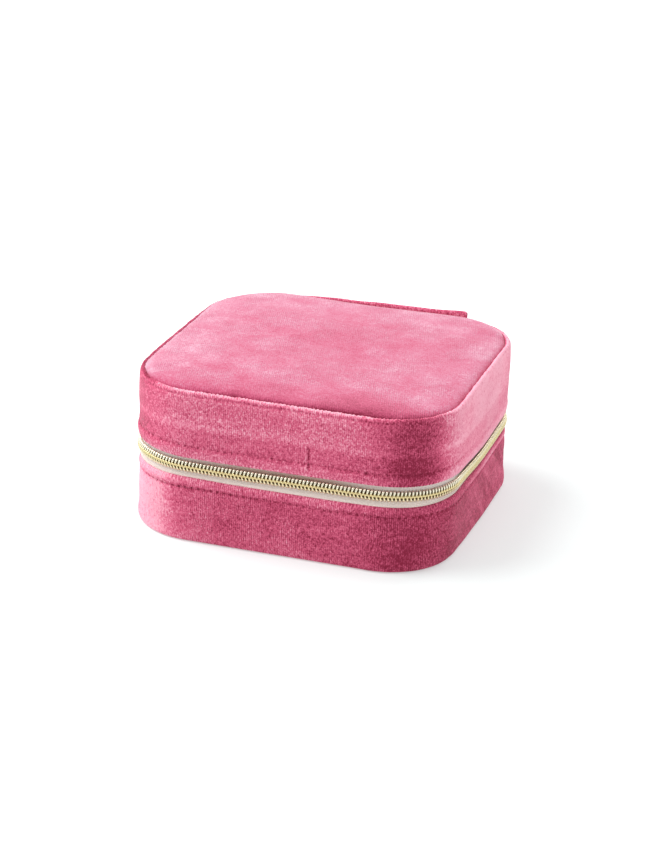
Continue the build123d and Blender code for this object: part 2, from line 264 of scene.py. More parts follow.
# ------------------------------------------------------------------ materials
class Nodes:
    """A small helper that wires one material's nodes."""

    def __init__(self, name):
        self.m = bpy.data.materials.new(name)
        self.m.use_nodes = True
        self.t = self.m.node_tree
        self.t.nodes.clear()
        self.out = self.t.nodes.new("ShaderNodeOutputMaterial")
        self.b = self.t.nodes.new("ShaderNodeBsdfPrincipled")
        self.t.links.new(self.b.outputs[0], self.out.inputs[0])

    def node(self, kind, **props):
        n = self.t.nodes.new(kind)
        for k, v in props.items():
            setattr(n, k, v)
        return n

    def put(self, socket, value):
        if isinstance(value, bpy.types.NodeSocket):
            self.t.links.new(value, socket)
        elif value is not None:
            socket.default_value = value

    def attribute(self, name, out="Vector"):
        return self.node("ShaderNodeAttribute", attribute_name=name).outputs[out]

    def coords(self):
        """Position on the piece, in mm."""
        c = self.node("ShaderNodeTexCoord").outputs["Object"]
        return self.scale(c, (1000, 1000, 1000))

    def scale(self, vector, by, move=(0, 0, 0)):
        n = self.node("ShaderNodeMapping", vector_type="POINT")
        self.put(n.inputs["Vector"], vector)
        n.inputs["Scale"].default_value = by
        n.inputs["Location"].default_value = move
        return n.outputs[0]

    def noise(self, vector, scale, detail=2.0, rough=0.5, distort=0.0):
        n = self.node("ShaderNodeTexNoise")
        self.put(n.inputs["Vector"], vector)
        n.inputs["Scale"].default_value = scale
        n.inputs["Detail"].default_value = detail
        n.inputs["Roughness"].default_value = rough
        n.inputs["Distortion"].default_value = distort
        return n.outputs[0]

    def math(self, op, a, b=None, c=None, clamp=False):
        n = self.node("ShaderNodeMath", operation=op, use_clamp=clamp)
        self.put(n.inputs[0], a)
        self.put(n.inputs[1], b)
        self.put(n.inputs[2], c)
        return n.outputs[0]

    def ramp(self, value, lo, hi, to_lo=0.0, to_hi=1.0):
        n = self.node("ShaderNodeMapRange", interpolation_type="SMOOTHSTEP")
        self.put(n.inputs["Value"], value)
        for key, x in (("From Min", lo), ("From Max", hi), ("To Min", to_lo), ("To Max", to_hi)):
            n.inputs[key].default_value = x
        return n.outputs[0]

    def mix(self, factor, a, b, blend="MIX"):
        n = self.node("ShaderNodeMix", data_type="RGBA", blend_type=blend)
        self.put(n.inputs[0], factor)
        self.put(n.inputs[6], a)
        self.put(n.inputs[7], b)
        return n.outputs[2]

    def colours(self, value, stops):
        """A colour from a list of (place, colour)."""
        n = self.node("ShaderNodeValToRGB")
        e = n.color_ramp.elements
        while len(e) < len(stops):
            e.new(0.5)
        for k, (at, c) in enumerate(stops):
            e[k].position = at
            e[k].color = c
        self.put(n.inputs[0], value)
        return n.outputs[0]

    def split(self, vector):
        n = self.node("ShaderNodeSeparateXYZ")
        self.put(n.inputs[0], vector)
        return n.outputs

    def bump(self, height, distance, strength=1.0, normal=None):
        n = self.node("ShaderNodeBump")
        self.put(n.inputs["Height"], height)
        n.inputs["Distance"].default_value = distance
        n.inputs["Strength"].default_value = strength
        self.put(n.inputs["Normal"], normal)
        return n.outputs[0]


def rgb(h):
    """Linear colour from an sRGB hex string."""
    c = [int(h[i : i + 2], 16) / 255 for i in (0, 2, 4)]
    return tuple([x / 12.92 if x <= 0.04045 else ((x + 0.055) / 1.055) ** 2.4 for x in c] + [1.0])


def velvet(name, stops, patches, grain_by, rib_by, sheen=0.8, cloud=(0.055, 0.30), fleck_by=0.16):
    """Short pile velvet. A point attribute says how pale it lies, from 0 to 1: partly the real lie of the nap and
    partly painted light and shade. To that come broad patches, the rows of the pile and a grain of tufts, and a second
    attribute adds painted highlights and painted shade at folds, seams and stitching.
    """
    k = Nodes(name)
    pos = k.coords()
    wv = k.attribute("wv")
    patch = k.noise(pos, 0.045, 3.0, 0.55, 0.6)
    streak = k.noise(k.scale(wv, (cloud[0], cloud[1], 1.0)), 1.0, 3.0, 0.6, 0.6)
    broad = k.math("ADD", k.math("MULTIPLY", patch, 0.55), k.math("MULTIPLY", streak, 0.45))
    broad = k.math("MULTIPLY", k.math("SUBTRACT", broad, 0.5), patches)
    # the pile's rows
    su = k.split(wv)
    across = k.math("ADD", k.math("MULTIPLY", su[0], 2 * math.pi / RIB), k.math("MULTIPLY", k.noise(pos, 0.5, 2.0, 0.5), 5.0))
    rib = k.math("MULTIPLY_ADD", k.math("SINE", across), 0.5, 0.5)
    rib = k.math("MULTIPLY", rib, k.ramp(k.noise(pos, 0.09, 2.0, 0.5), 0.35, 0.6, 0.25, 1.0))
    # tufts, a little longer up the side than along it
    grain = k.noise(pos, 2.1, 3.0, 0.62)
    long = k.noise(k.scale(wv, (1.9, 0.85, 1.0)), 1.0, 2.0, 0.55)
    clump = k.noise(pos, 0.85, 2.0, 0.55)
    speck = k.math("ADD", k.math("MULTIPLY", grain, 0.5), k.math("ADD", k.math("MULTIPLY", long, 0.3), k.math("MULTIPLY", clump, 0.2)))
    # this attribute holds painted highlights and painted shade at folds, seams, creases and stitch holes
    fold = k.attribute("fold", "Fac")
    # paleness along the piece, partly the real lie of the nap and partly painted light and shade
    n = k.math("ADD", k.attribute("nap", "Fac"), broad)
    # brushed pale, the pile lies closer and shows less grain
    grain_by = k.ramp(k.attribute("nap", "Fac"), 0.7, 0.88, grain_by, 0.5 * grain_by)
    n = k.math("ADD", n, k.math("MULTIPLY", k.math("SUBTRACT", speck, 0.5), grain_by))
    n = k.math("ADD", n, k.math("MULTIPLY", k.math("SUBTRACT", rib, 0.4), rib_by))
    # gaps in the pile, seen dark
    gaps = k.noise(pos, 1.25, 2.0, 0.6)
    n = k.math("SUBTRACT", n, k.ramp(gaps, 0.43, 0.33, 0.0, fleck_by))
    n = k.math("ADD", n, k.math("MULTIPLY", fold, 0.42), clamp=True)
    k.put(k.b.inputs["Base Color"], k.colours(n, stops))
    height = k.math("ADD", k.math("MULTIPLY", speck, 0.9), k.math("MULTIPLY", rib, 0.3))
    k.put(k.b.inputs["Normal"], k.bump(height, 0.00035, 0.9))
    k.b.inputs["Roughness"].default_value = 0.92
    k.b.inputs["Specular IOR Level"].default_value = 0.1
    k.b.inputs["Sheen Weight"].default_value = sheen
    k.b.inputs["Sheen Roughness"].default_value = 0.36
    k.b.inputs["Sheen Tint"].default_value = rgb("FFD2DA")
    return k.m


SAG = (238.0, 250.0, 286.0, 300.0)


def woven_tape(name, deep="DCCFC8", pale="F8F2EE", painted_shade_by=0.0):
    """Zip tape: a fine twill on off-white polyester."""
    k = Nodes(name)
    su = k.split(k.attribute("wv"))
    a = k.math("ADD", k.math("MULTIPLY", su[0], 13.0), k.math("MULTIPLY", su[1], 9.0))
    b = k.math("SUBTRACT", k.math("MULTIPLY", su[0], 13.0), k.math("MULTIPLY", su[1], 9.0))
    weave = k.math("MULTIPLY", k.math("SINE", a), k.math("SINE", b))
    pos = k.coords()
    fuzz = k.noise(pos, 3.0, 2.0, 0.6)
    colour = k.mix(k.ramp(weave, -1.0, 1.0), rgb(deep), rgb(pale))
    colour = k.mix(k.ramp(fuzz, 0.4, 0.7, 0.0, 0.35), colour, rgb("C9B8B0"))
    if painted_shade_by:
        # painted shadow over the tape, deepest next to the coil and along the middle of the front
        shade = k.ramp(su[1], 5.2, 6.4, 0.42, 0.9)
        front = k.math("MULTIPLY", k.ramp(su[0], 136.0, 176.0, 0.25, 1.0), k.ramp(su[0], 190.0, 218.0, 1.0, 0.15))
        colour = k.mix(k.math("MULTIPLY", shade, front), colour, rgb("AE8B7B"))
        # painted shadow of the lid's hem, which has sagged onto it along the right side
        side = k.math("MULTIPLY", k.ramp(su[0], SAG[0], SAG[1]), k.ramp(su[0], SAG[2], SAG[3], painted_shade_by, 0.0))
        colour = k.mix(side, colour, rgb("4C3A36"))
    k.put(k.b.inputs["Base Color"], colour)
    k.put(k.b.inputs["Normal"], k.bump(k.math("ADD", weave, fuzz), 0.00008, 0.7))
    k.b.inputs["Roughness"].default_value = 0.85
    k.b.inputs["Sheen Weight"].default_value = 0.15
    return k.m


def metal(name, base, second, rough=0.22, grain=3.0):
    """Plated metal with faint brushing and wear in its colour and roughness."""
    k = Nodes(name)
    pos = k.coords()
    n = k.noise(pos, grain, 3.0, 0.6)
    m = k.noise(pos, 0.35, 2.0, 0.5)
    k.put(k.b.inputs["Base Color"], k.mix(k.ramp(m, 0.35, 0.65), base, second))
    k.put(k.b.inputs["Roughness"], k.ramp(n, 0.3, 0.7, rough * 0.75, rough * 1.4))
    k.put(k.b.inputs["Normal"], k.bump(n, 0.00002, 0.35))
    k.b.inputs["Metallic"].default_value = 1.0
    return k.m


def plated_coil(name, deep, pale):
    """Gold plated over nylon, with random wear in its colour; a point attribute paints a highlight on the crowns of the
    turns, pale, and painted shade down in the coupling between them, deep gold.
    """
    k = Nodes(name)
    pos = k.coords()
    n = k.noise(pos, 3.0, 3.0, 0.6)
    wear_by = k.math("MULTIPLY", k.math("SUBTRACT", k.noise(pos, 0.6, 2.0, 0.5), 0.5), 0.35)
    tone = k.math("ADD", k.attribute("nap", "Fac"), wear_by, clamp=True)
    k.put(k.b.inputs["Base Color"], k.mix(tone, deep, pale))
    k.put(k.b.inputs["Roughness"], k.ramp(n, 0.3, 0.7, 0.2, 0.34))
    k.put(k.b.inputs["Normal"], k.bump(n, 0.00002, 0.3))
    k.b.inputs["Metallic"].default_value = 1.0
    return k.m


def suede(name, deep, mid, pale):
    """The lining: a very short pile with a soft mottled nap."""
    k = Nodes(name)
    pos = k.coords()
    nap = k.ramp(k.noise(pos, 0.07, 4.0, 0.6, 0.8), 0.38, 0.62)
    grain = k.noise(pos, 3.6, 3.0, 0.6)
    colour = k.mix(nap, mid, pale)
    colour = k.mix(k.ramp(grain, 0.58, 0.36, 0.0, 0.5), colour, deep)
    k.put(k.b.inputs["Base Color"], colour)
    k.put(k.b.inputs["Normal"], k.bump(grain, 0.00018, 0.8))
    k.b.inputs["Roughness"].default_value = 0.9
    k.b.inputs["Specular IOR Level"].default_value = 0.15
    k.b.inputs["Sheen Weight"].default_value = 0.5
    k.b.inputs["Sheen Roughness"].default_value = 0.4
    k.b.inputs["Sheen Tint"].default_value = rgb("FFD3DE")
    return k.m


def greyboard(name):
    k = Nodes(name)
    pos = k.coords()
    fibre = k.noise(k.scale(pos, (1.0, 1.0, 5.0)), 0.9, 4.0, 0.65)
    fleck = k.noise(pos, 2.6, 2.0, 0.7)
    colour = k.mix(k.ramp(fibre, 0.35, 0.65), rgb("8C8276"), rgb("A69B8C"))
    colour = k.mix(k.ramp(fleck, 0.6, 0.75, 0.0, 0.6), colour, rgb("5F574E"))
    k.put(k.b.inputs["Base Color"], colour)
    k.put(k.b.inputs["Normal"], k.bump(fibre, 0.0001, 0.6))
    k.b.inputs["Roughness"].default_value = 0.9
    return k.m


def foam(name):
    k = Nodes(name)
    pos = k.coords()
    n = k.node("ShaderNodeTexVoronoi")
    k.put(n.inputs["Vector"], pos)
    n.inputs["Scale"].default_value = 2.4
    cell = n.outputs["Distance"]
    colour = k.mix(k.ramp(cell, 0.0, 0.6), rgb("CFC9BE"), rgb("F4F0E8"))
    k.put(k.b.inputs["Base Color"], colour)
    k.put(k.b.inputs["Normal"], k.bump(cell, 0.00025, 0.8))
    k.b.inputs["Roughness"].default_value = 0.95
    return k.m


def mirror_glass(name):
    """Silvered glass with the faint smudges a handled mirror has."""
    k = Nodes(name)
    n = k.noise(k.coords(), 0.12, 5.0, 0.6, 1.5)
    k.put(k.b.inputs["Roughness"], k.ramp(n, 0.45, 0.75, 0.02, 0.07))
    k.put(k.b.inputs["Base Color"], k.mix(k.ramp(n, 0.3, 0.8), rgb("F1F4F3"), rgb("E6EAE9")))
    k.b.inputs["Metallic"].default_value = 1.0
    return k.m


SHADES = [(0.0, rgb("86243E")), (0.25, rgb("AE4260")), (0.5, rgb("CE5A7A")), (0.75, rgb("E07E98")), (1.0, rgb("F3AEC0"))]
mat_side = velvet("velvet_side", SHADES, 0.5, 2.8, 0.17, 0.3)
mat_base = velvet("velvet_base", SHADES, 0.5, 2.6, 0.28, 0.2)
# the top's own copy of the shades, about a fifth darker: painted shade, since the top takes more of the light
mat_top = velvet("velvet_top", [(a, (c[0] * (0.8 - 0.085 * smooth(0.4, 0.8, a)), c[1] * 0.835, c[2] * 0.85, 1.0)) for a, c in SHADES], 0.95, 1.5, 0.08, 0.6, (0.12, 0.16), 0.07)
mat_lining = suede("lining_suede", rgb("B5506F"), rgb("D98097"), rgb("E9A5B4"))
# the lid's tape carries painted shadow from the hem and the coil
mat_tape = woven_tape("zip_tape_weave", painted_shade_by=0.85)
# a second copy of the tape's weave for the lower tape, tinted pinker: painted light, for the light that falls on the
# lower tape
mat_tape_low = woven_tape("zip_tape_weave_pale", "E0CCC3", "F8EAE3")
mat_roll = suede("roll_suede", rgb("B5506F"), rgb("DC869C"), rgb("ECABB9"))
mat_coil = plated_coil("gold_coil", rgb("DCCB98"), rgb("F5EED8"))
mat_metal = metal("gold_plate", rgb("E3C77C"), rgb("EFDDA4"), 0.2, 4.0)
mat_board = greyboard("grey_board")
mat_foam = foam("foam_wadding")
mat_mirror = mirror_glass("mirror_silver")


def wear(ob, material):
    ob.data.materials.clear()
    ob.data.materials.append(material)
    return ob


# ------------------------------------------------------------------ velvet bands
STITCH = 2.05           # pitch of the topstitching
LID_STITCH_Z, BASE_STITCH_Z = 30.6, 17.1


def stitch_relief(u, z, z0, phase=0.0):
    """The channel the topstitching pulls into the velvet, deeper at each needle hole."""
    wob = 0.14 * np.sin(u / 9.0 + phase) + 0.08 * np.sin(u / 3.7 + 2 * phase)
    line = np.exp(-(((z - z0 - wob) / 0.42) ** 2))
    s = (u / STITCH) % 1.0
    hole = np.exp(-(((s - 0.5) * STITCH / 0.26) ** 2)) * np.exp(-(((z - z0 - wob) / 0.3) ** 2))
    return -0.2 * line - 0.45 * hole * (0.75 + 0.4 * np.sin(u / 2.9 + phase) * np.sin(u / 1.3)), line, hole


def near(x, at, half):
    return np.exp(-(((x - at) / half) ** 2))


def droop(u):
    """How far the hand-sewn zip has dropped along the right side, from 0 to 1."""
    return smooth(232.0, 272.0, u) * (1 - smooth(298.0, 321.0, u))


# How far the velvet strays outwards from the plain outline along its run: the lid low on the right, the lid at the front
# left corner, the foot of the base, and the base at the front left corner.
LID_OUT = [(0, 0), (232, 0), (258, 0.4), (275, 0.45), (288, 0.25), (297, 0.08), (310, 0.05), (322, 0), (358, 0)]
LID_OUT_LEFT = [(0, 0), (106, 0), (117, -0.34), (123, -0.4), (131, -0.34), (144, 0), (358, 0)]
FOOT_OUT = [(0, 0), (204, 0), (213, 0.35), (222, 0.4), (230, 0.0), (237, -0.5), (244, -0.3), (252, 0.1), (262, 0.35), (272, 0.65),
            (298, 0.65), (310, 0.3), (322, 0), (358, 0)]


# How far the chain and the two hems sit above or below their straight lines, as sewn.
CHAIN_UP = [(0, 0), (112, 0), (124, -0.1), (143, 0.0), (149, -0.08), (154, -0.15), (160, -0.32), (168, -0.36), (176, -0.29),
            (184, -0.2), (191, -0.15), (200, -0.15), (206, -0.06), (212, 0.0), (218, -0.14), (223, -0.3), (229, -0.52),
            (236, -0.66), (248, -0.75), (272, -0.75), (290, -0.55), (304, -0.35), (321, 0), (358, 0)]
LID_HEM_UP = [(0, 0), (172, 0), (182, 0.1), (206, 0.1), (213, 0.22), (219, 0.13), (250, 0.13), (262, 0), (358, 0)]
BASE_HEM_UP = [(0, 0), (136, 0), (143, 0.1), (149, 0.3), (155, 0.22), (162, 0.13), (186, 0.14), (194, 0.16), (202, 0.1),
               (208, 0.23), (213, 0.3), (220, 0.2), (226, 0.2), (236, 0.45), (244, 0.3), (252, 0.1), (262, 0), (358, 0)]


def along(u, table):
    return np.interp(u, [a for a, _ in table], [b for _, b in table])


def eased(u, table):
    """The same with its corners rounded."""
    return sum(along(np.asarray(u) + o, table) for o in (-4.0, -2.0, 0.0, 2.0, 4.0)) / 5


def back_run(u):
    """1 along the back, 0 along the sides and the front."""
    return smooth(306.0, 324.0, u) + 1 - smooth(44.0, 56.0, u)


def lid_shift(u, inset, z):
    d = droop(u)
    rise = -1.8 * d + 0.38 * near(u, 136.0, 15.0) + 0.3 * near(u, 206.0, 12.0) + eased(u, LID_HEM_UP)
    crest = -0.55 * near(u, 60.0, 9.0) - 0.35 * back_run(u)
    out = along(u, LID_OUT) * (1 - smooth(33.0, 47.0, z)) + along(u, LID_OUT_LEFT) * smooth(29.5, 33.0, z)
    return out, rise * (1 - smooth(26.5, 37.0, z)) + crest * smooth(42.0, 47.0, z)


def base_shift(u, inset, z):
    d = droop(u)
    rise = -0.5 * d + 0.25 * near(u, 148.0, 14.0) + 0.25 * near(u, 207.0, 10.0) + eased(u, BASE_HEM_UP)
    out = along(u, FOOT_OUT) * (1 - smooth(1.5, 7.0, z)) - 0.38 * near(u, 122.0, 13.0) * smooth(2.0, 6.0, z)
    out = out - 0.16 * near(u, 304.0, 10.0) * smooth(3.0, 7.0, z)
    return out, rise * smooth(9.0, 19.5, z)


def chain_shift(u):
    """The same for the chain and its tapes: out and up."""
    d = droop(u)
    return 0.5 * d + 0.45 * near(u, 126.0, 8.0), -1.7 * d + eased(u, CHAIN_UP)


def loops(u, pitch, seed):
    """Tufts side by side along a fold, unevenly spaced and unevenly high."""
    u = np.asarray(u, float)
    w = 0.5 * np.sin(u / 7.3 + seed) + 0.35 * np.sin(u / 3.1 + 2.1 * seed) + 0.2 * np.sin(u / 1.7 + 4.0 * seed)
    size = 0.65 + 0.35 * np.sin(u / 5.3 + 3 * seed) * np.sin(u / 2.3 + seed)
    return size * np.cos(2 * math.pi * u / pitch + 2.2 * w)


def tick_marks(u, z):
    """A short crease up the front, where two pile directions meet: masks for its groove, which gets painted shade, and
    the raised pile beside it, which gets a painted highlight.
    """
    up = smooth(28.6, 29.4, z) * (1 - smooth(35.4, 36.6, z))
    return near(u, TICK_U, 0.26) * up, near(u, TICK_U - 0.6, 0.32) * up


def lid_relief(U, V, inset, z, xyz):
    outer = np.clip(1 - inset / 0.9, 0, 1)
    pts = xyz.reshape(-1, 3)
    low = field(pts, 19.0, 1).reshape(U.shape)
    mid = field(pts, 5.2, 2).reshape(U.shape)
    h = outer * (0.16 * low + 0.08 * mid)
    h += outer * 0.2 * near(z, 41.0, 5.5)                         # soft belly of the padded side
    g, _, _ = stitch_relief(U, z, LID_STITCH_Z)
    h += outer * g * (1 - 0.75 * smooth(238, 250, U) * (1 - smooth(300, 320, U)))
    h += outer * 0.2 * near(z, 28.9, 0.9)                         # the hem stands proud below the stitching
    groove, ridge = tick_marks(U, z)
    h += outer * (0.16 * ridge - 0.35 * groove)
    crest = np.clip((z - 46.5) / 0.7, 0, 1) * (inset < 1.7)
    h += crest * (0.15 * loops(U, 1.15, 1.0) + 0.16 * field(pts, 1.5, 3, 1).reshape(U.shape))
    h -= 0.22 * near(z, 46.25, 0.35) * (inset < 0.6) * smooth(124.0, 140.0, U) * (1 - smooth(222.0, 245.0, U))
    h += (1 - smooth(27.0, 28.0, z)) * 0.1 * loops(U, 1.06, 2.0) * outer
    return h


def base_relief(U, V, inset, z, xyz):
    outer = np.clip(1 - inset / 0.9, 0, 1)
    pts = xyz.reshape(-1, 3)
    low = field(pts, 17.0, 5).reshape(U.shape)
    mid = field(pts, 5.0, 6).reshape(U.shape)
    h = outer * (0.16 * low + 0.08 * mid) * smooth(0.6, 5.0, z)
    h += outer * 0.14 * near(z, 9.0, 4.5)
    g, _, _ = stitch_relief(U, z, BASE_STITCH_Z, 1.3)
    h += outer * g * (1 + 0.8 * near(U, 146.0, 18.0))
    h += outer * (0.22 - 0.16 * droop(U) - 0.12 * near(U, 122.0, 13.0)) * near(z, 18.4, 0.85)
    # creases drawn down from the zip along the right side
    lean = field(np.stack([U + 0.9 * z, 0.25 * z, 0 * z], -1).reshape(-1, 3), 3.6, 7, 2).reshape(U.shape)
    h += outer * 0.24 * lean * droop(U) * smooth(2.0, 9.0, z) * (1 - smooth(16.0, 17.5, z))
    h += smooth(19.0, 19.8, z) * 0.1 * loops(U, 1.06, 3.0) * outer
    return h


FRONT_START = LEFT_START + 2 * ARC_Y + QUARTER
TICK_U = FRONT_START + ARC_X + 9.85
# paleness of the lid's side along its run, from the middle of the back: partly the real lie of the nap and partly
# painted light, with painted shade at the front's corners, deepest at the front right corner, and painted light along
# the right side
LID_NAP_AND_PAINTED_LIGHT = [(0, 0.46), (62, 0.52), (100, 0.5), (112, 0.46), (124, 0.4), (132, 0.35), (140, 0.55), (152, 0.56), (165, 0.55),
           (200, 0.54), (206, 0.45), (212, 0.31), (217, 0.06), (223, 0.08), (227, 0.24), (231, 0.55), (236, 0.77), (244, 0.84),
           (262, 0.87), (288, 0.89), (302, 0.82), (322, 0.56), (358, 0.46)]
# the same for the base's side: partly the real lie of the nap, with a painted highlight on the front left corner and
# painted shade round the front right corner and along the right side
BASE_NAP_AND_PAINTED_LIGHT = [(0, 0.4), (62, 0.46), (100, 0.66), (120, 0.95), (132, 1.02), (141, 0.9), (147, 0.63), (153, 0.46), (162, 0.4), (200, 0.39),
            (206, 0.31), (212, 0.17), (218, 0.14), (224, 0.18), (229, 0.17), (235, 0.19), (244, 0.22), (262, 0.31), (290, 0.4),
            (310, 0.4), (358, 0.4)]
# How pale the folded top edge of the lid's side is: a painted highlight on the front, painted shade where it is pressed
# under the panel.
CREST = [(0, -0.3), (48, -0.3), (60, -0.95), (114, -0.95), (135, -0.9), (142, 0.1), (151, 1), (204, 1), (214, 0.35), (240, 0.3), (300, 0.3), (318, 0.0),
         (330, -0.3), (358, -0.3)]


def lid_tones(U, V, inset, z):
    crest = np.clip((z - 47.1) / 0.4, 0, 1) * (inset < 1.4)
    _, line, hole = stitch_relief(U, z, LID_STITCH_Z)
    side = smooth(238, 250, U) * (1 - smooth(300, 320, U))
    seam = np.clip((inset - 1.3) / 0.3, 0, 1) * (z > 40)
    groove, ridge = tick_marks(U, z)
    c = along(U, CREST)
    # painted highlight on the crest of the fold, in tufts and most along the front, and painted shade where the crest
    # is pressed under the panel
    fold = np.where(c > 0, 0.6 * c * (0.9 + 0.5 * loops(U, 1.15, 1.0) * np.cos(3.1 * z + 0.8 * U)), c) * crest
    front = along(U, [(0, 0), (124, 0), (140, 1), (206, 1), (222, 0.5), (240, 0.15), (250, 0), (358, 0)])
    fold += crest * front * (0.2 + 0.4 * loops(U, 0.83, 5.0))
    # painted shade in a line just under the crest along the front
    fold -= front * (0.55 + 0.45 * loops(U, 1.3, 4.0)) * near(z + 0.12 * np.sin(U / 2.7), 46.55, 0.36) * (inset < 0.6)
    # painted shade in the seam behind the crest and in the crease up the front, painted highlight on the pile beside
    # the crease
    fold -= 1.3 * seam * (1 - 0.6 * near(U, 128.0, 14.0)) + 1.7 * groove - 0.6 * ridge
    # painted shade in the stitch channel and its needle holes
    fold -= (0.12 * line + 0.7 * hole) * (1 - 0.8 * side) * (1 + 0.9 * near(U, 229, 6.0))
    # painted highlight and painted shade by turns on the tufts of the hem's lower fold
    fold += (1 - smooth(27.3, 27.9, z)) * (0.15 - 0.55 * loops(U, 1.06, 2.0))
    # paleness from the table, partly real nap and partly painted light; the step in the nap at about z 36 with a pale
    # line above it, paler towards the top edge and on the hem below the stitching
    nap = along(U, LID_NAP_AND_PAINTED_LIGHT) + 0.1 * smooth(35.3, 36.4, z) - 0.04 + 0.12 * near(z, 37.3, 0.7) * (1 - side)
    nap += 0.07 * smooth(44.6, 47.0, z) + 0.12 * (1 - smooth(29.0, 30.0, z))
    # pale and dark patches at the front left corner and a pale patch at the front right corner
    nap += 0.09 * near(U, 146.0, 9.0) * near(z, 36.0, 4.0) - 0.04 * near(U, 149.0, 8.0) * near(z, 43.0, 3.0)
    nap += 0.14 * near(U, 230.0, 8.0) * near(z, 35.0, 4.5)
    return {"fold": np.clip(fold, -1, 1).reshape(-1), "nap": nap.reshape(-1)}


def base_tones(U, V, inset, z):
    _, line, hole = stitch_relief(U, z, BASE_STITCH_Z, 1.3)
    d = droop(U)
    # painted shade in the stitch channel and its needle holes
    fold = -(0.14 * line + 0.75 * hole) * (1 - 0.6 * d) * (1 + 1.0 * near(U, 146.0, 18.0))
    # painted highlight and painted shade by turns on the tufts of the hem's top fold, and a painted shadow along the
    # hem's top where the zip has dropped
    fold += smooth(18.9, 19.4, z) * (0.1 - 0.5 * loops(U, 1.06, 3.0)) * (1 - d) - 0.6 * d * smooth(19.0, 19.8, z)
    # paleness from the table, partly real nap and partly painted light; painted highlights on the hem above the
    # stitching and on a ridge below the hem on the right side, paler towards the bottom, and darker above the stitching
    # at the front left corner
    nap = along(U, BASE_NAP_AND_PAINTED_LIGHT) + 0.14 * smooth(17.5, 18.3, z) + 0.3 * d * near(z, 18.2, 0.8) + 0.05 * (1 - smooth(1.0, 4.0, z))
    nap += 0.08 * (1 - smooth(4.0, 9.0, z)) * near(U, 168.0, 24.0) - 0.3 * near(U, 128.0, 14.0) * smooth(16.8, 17.8, z)
    # painted highlight and painted shade following the creases drawn down the right side
    crease = field(np.stack([U + 0.9 * z, 0.25 * z, 0 * z], -1).reshape(-1, 3), 3.6, 7, 2).reshape(U.shape)
    nap += (0.02 + 0.26 * crease) * d * (1 - smooth(16.0, 17.5, z))
    return {"fold": np.clip(fold, -1, 1).reshape(-1), "nap": nap.reshape(-1)}


def lid_step(q):
    if q[0] > 1.3 and 28.0 < q[1] < 45.6:
        return 3.0
    if q[1] > 46.0 or q[1] < 29.0 or 30.0 < q[1] < 31.3:
        return 0.3
    return 0.62


def base_step(q):
    if q[0] > 1.3 and 1.0 < q[1] < 19.0:
        return 3.0
    if q[1] > 18.6 or q[1] < 1.5 or 16.4 < q[1] < 17.8:
        return 0.3
    return 0.62


lid_profile = rounded(
    [(3.0, 45.9), (2.4, 46.1), (1.95, 46.5), (1.6, 47.25), (1.15, 47.72), (0.6, 47.6), (0.2, 47.0), (0.02, 46.0), (0.0, 42.0),
     (0.0, 28.2), (0.05, 27.3), (0.3, 26.65), (0.85, 26.5), (1.35, 26.8), (1.4, 27.6), (1.4, 33.0), (1.78, 34.0), (1.78, 45.0), (3.0, 45.9)],
    0.4, 3,
)
lid_side = band("lid_velvet_band", lid_profile, 0.33, lid_step, lid_relief, extra=lid_tones, shift=lid_shift)
wear(lid_side, mat_side)
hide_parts("lid_side_velvet")
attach(lid_side, "lid")

base_profile = rounded(
    [(1.4, 19.2), (1.2, 19.95), (0.7, 20.12), (0.22, 19.7), (0.02, 18.9), (0.0, 18.0), (0.0, 2.0), (0.1, 0.9), (0.45, 0.3),
     (1.2, 0.08), (2.6, 0.08), (2.6, 0.9), (1.78, 1.3), (1.78, 12.0), (1.4, 13.0), (1.4, 19.2)],
    0.4, 3,
)
base_side = band("base_velvet_band", base_profile, 0.33, base_step, base_relief, extra=base_tones, shift=base_shift)
wear(base_side, mat_base)
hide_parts("base_side_velvet")
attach(base_side, "base")


# ------------------------------------------------------------------ padded lid panel and the underside
def rim_distance(x, y, inset):
    """Distance inwards from the rounded outline moved in by inset."""
    r = R - inset
    qx, qy = np.abs(x) - (W / 2 - inset - r), np.abs(y) - (D / 2 - inset - r)
    return -(np.hypot(np.maximum(qx, 0), np.maximum(qy, 0)) + np.minimum(np.maximum(qx, qy), 0) - r)


def edge_facing(x, y):
    """Which way the nearest edge of the plan faces."""
    ex = np.maximum(np.abs(x) - (W / 2 - R), 0) * np.sign(x)
    ey = np.maximum(np.abs(y) - (D / 2 - R), 0) * np.sign(y)
    g = np.hypot(ex, ey) + 1e-6
    return ex / g, ey / g


def pressed(x, y):
    """1 along the back and the left, where the panel is full and its edge stands over the fold beside it."""
    fx, fy = edge_facing(x, y)
    return smooth(-0.02, 0.28, 0.957 * fy - 0.29 * fx + 0.3 * (x < 0) * (y < 0))


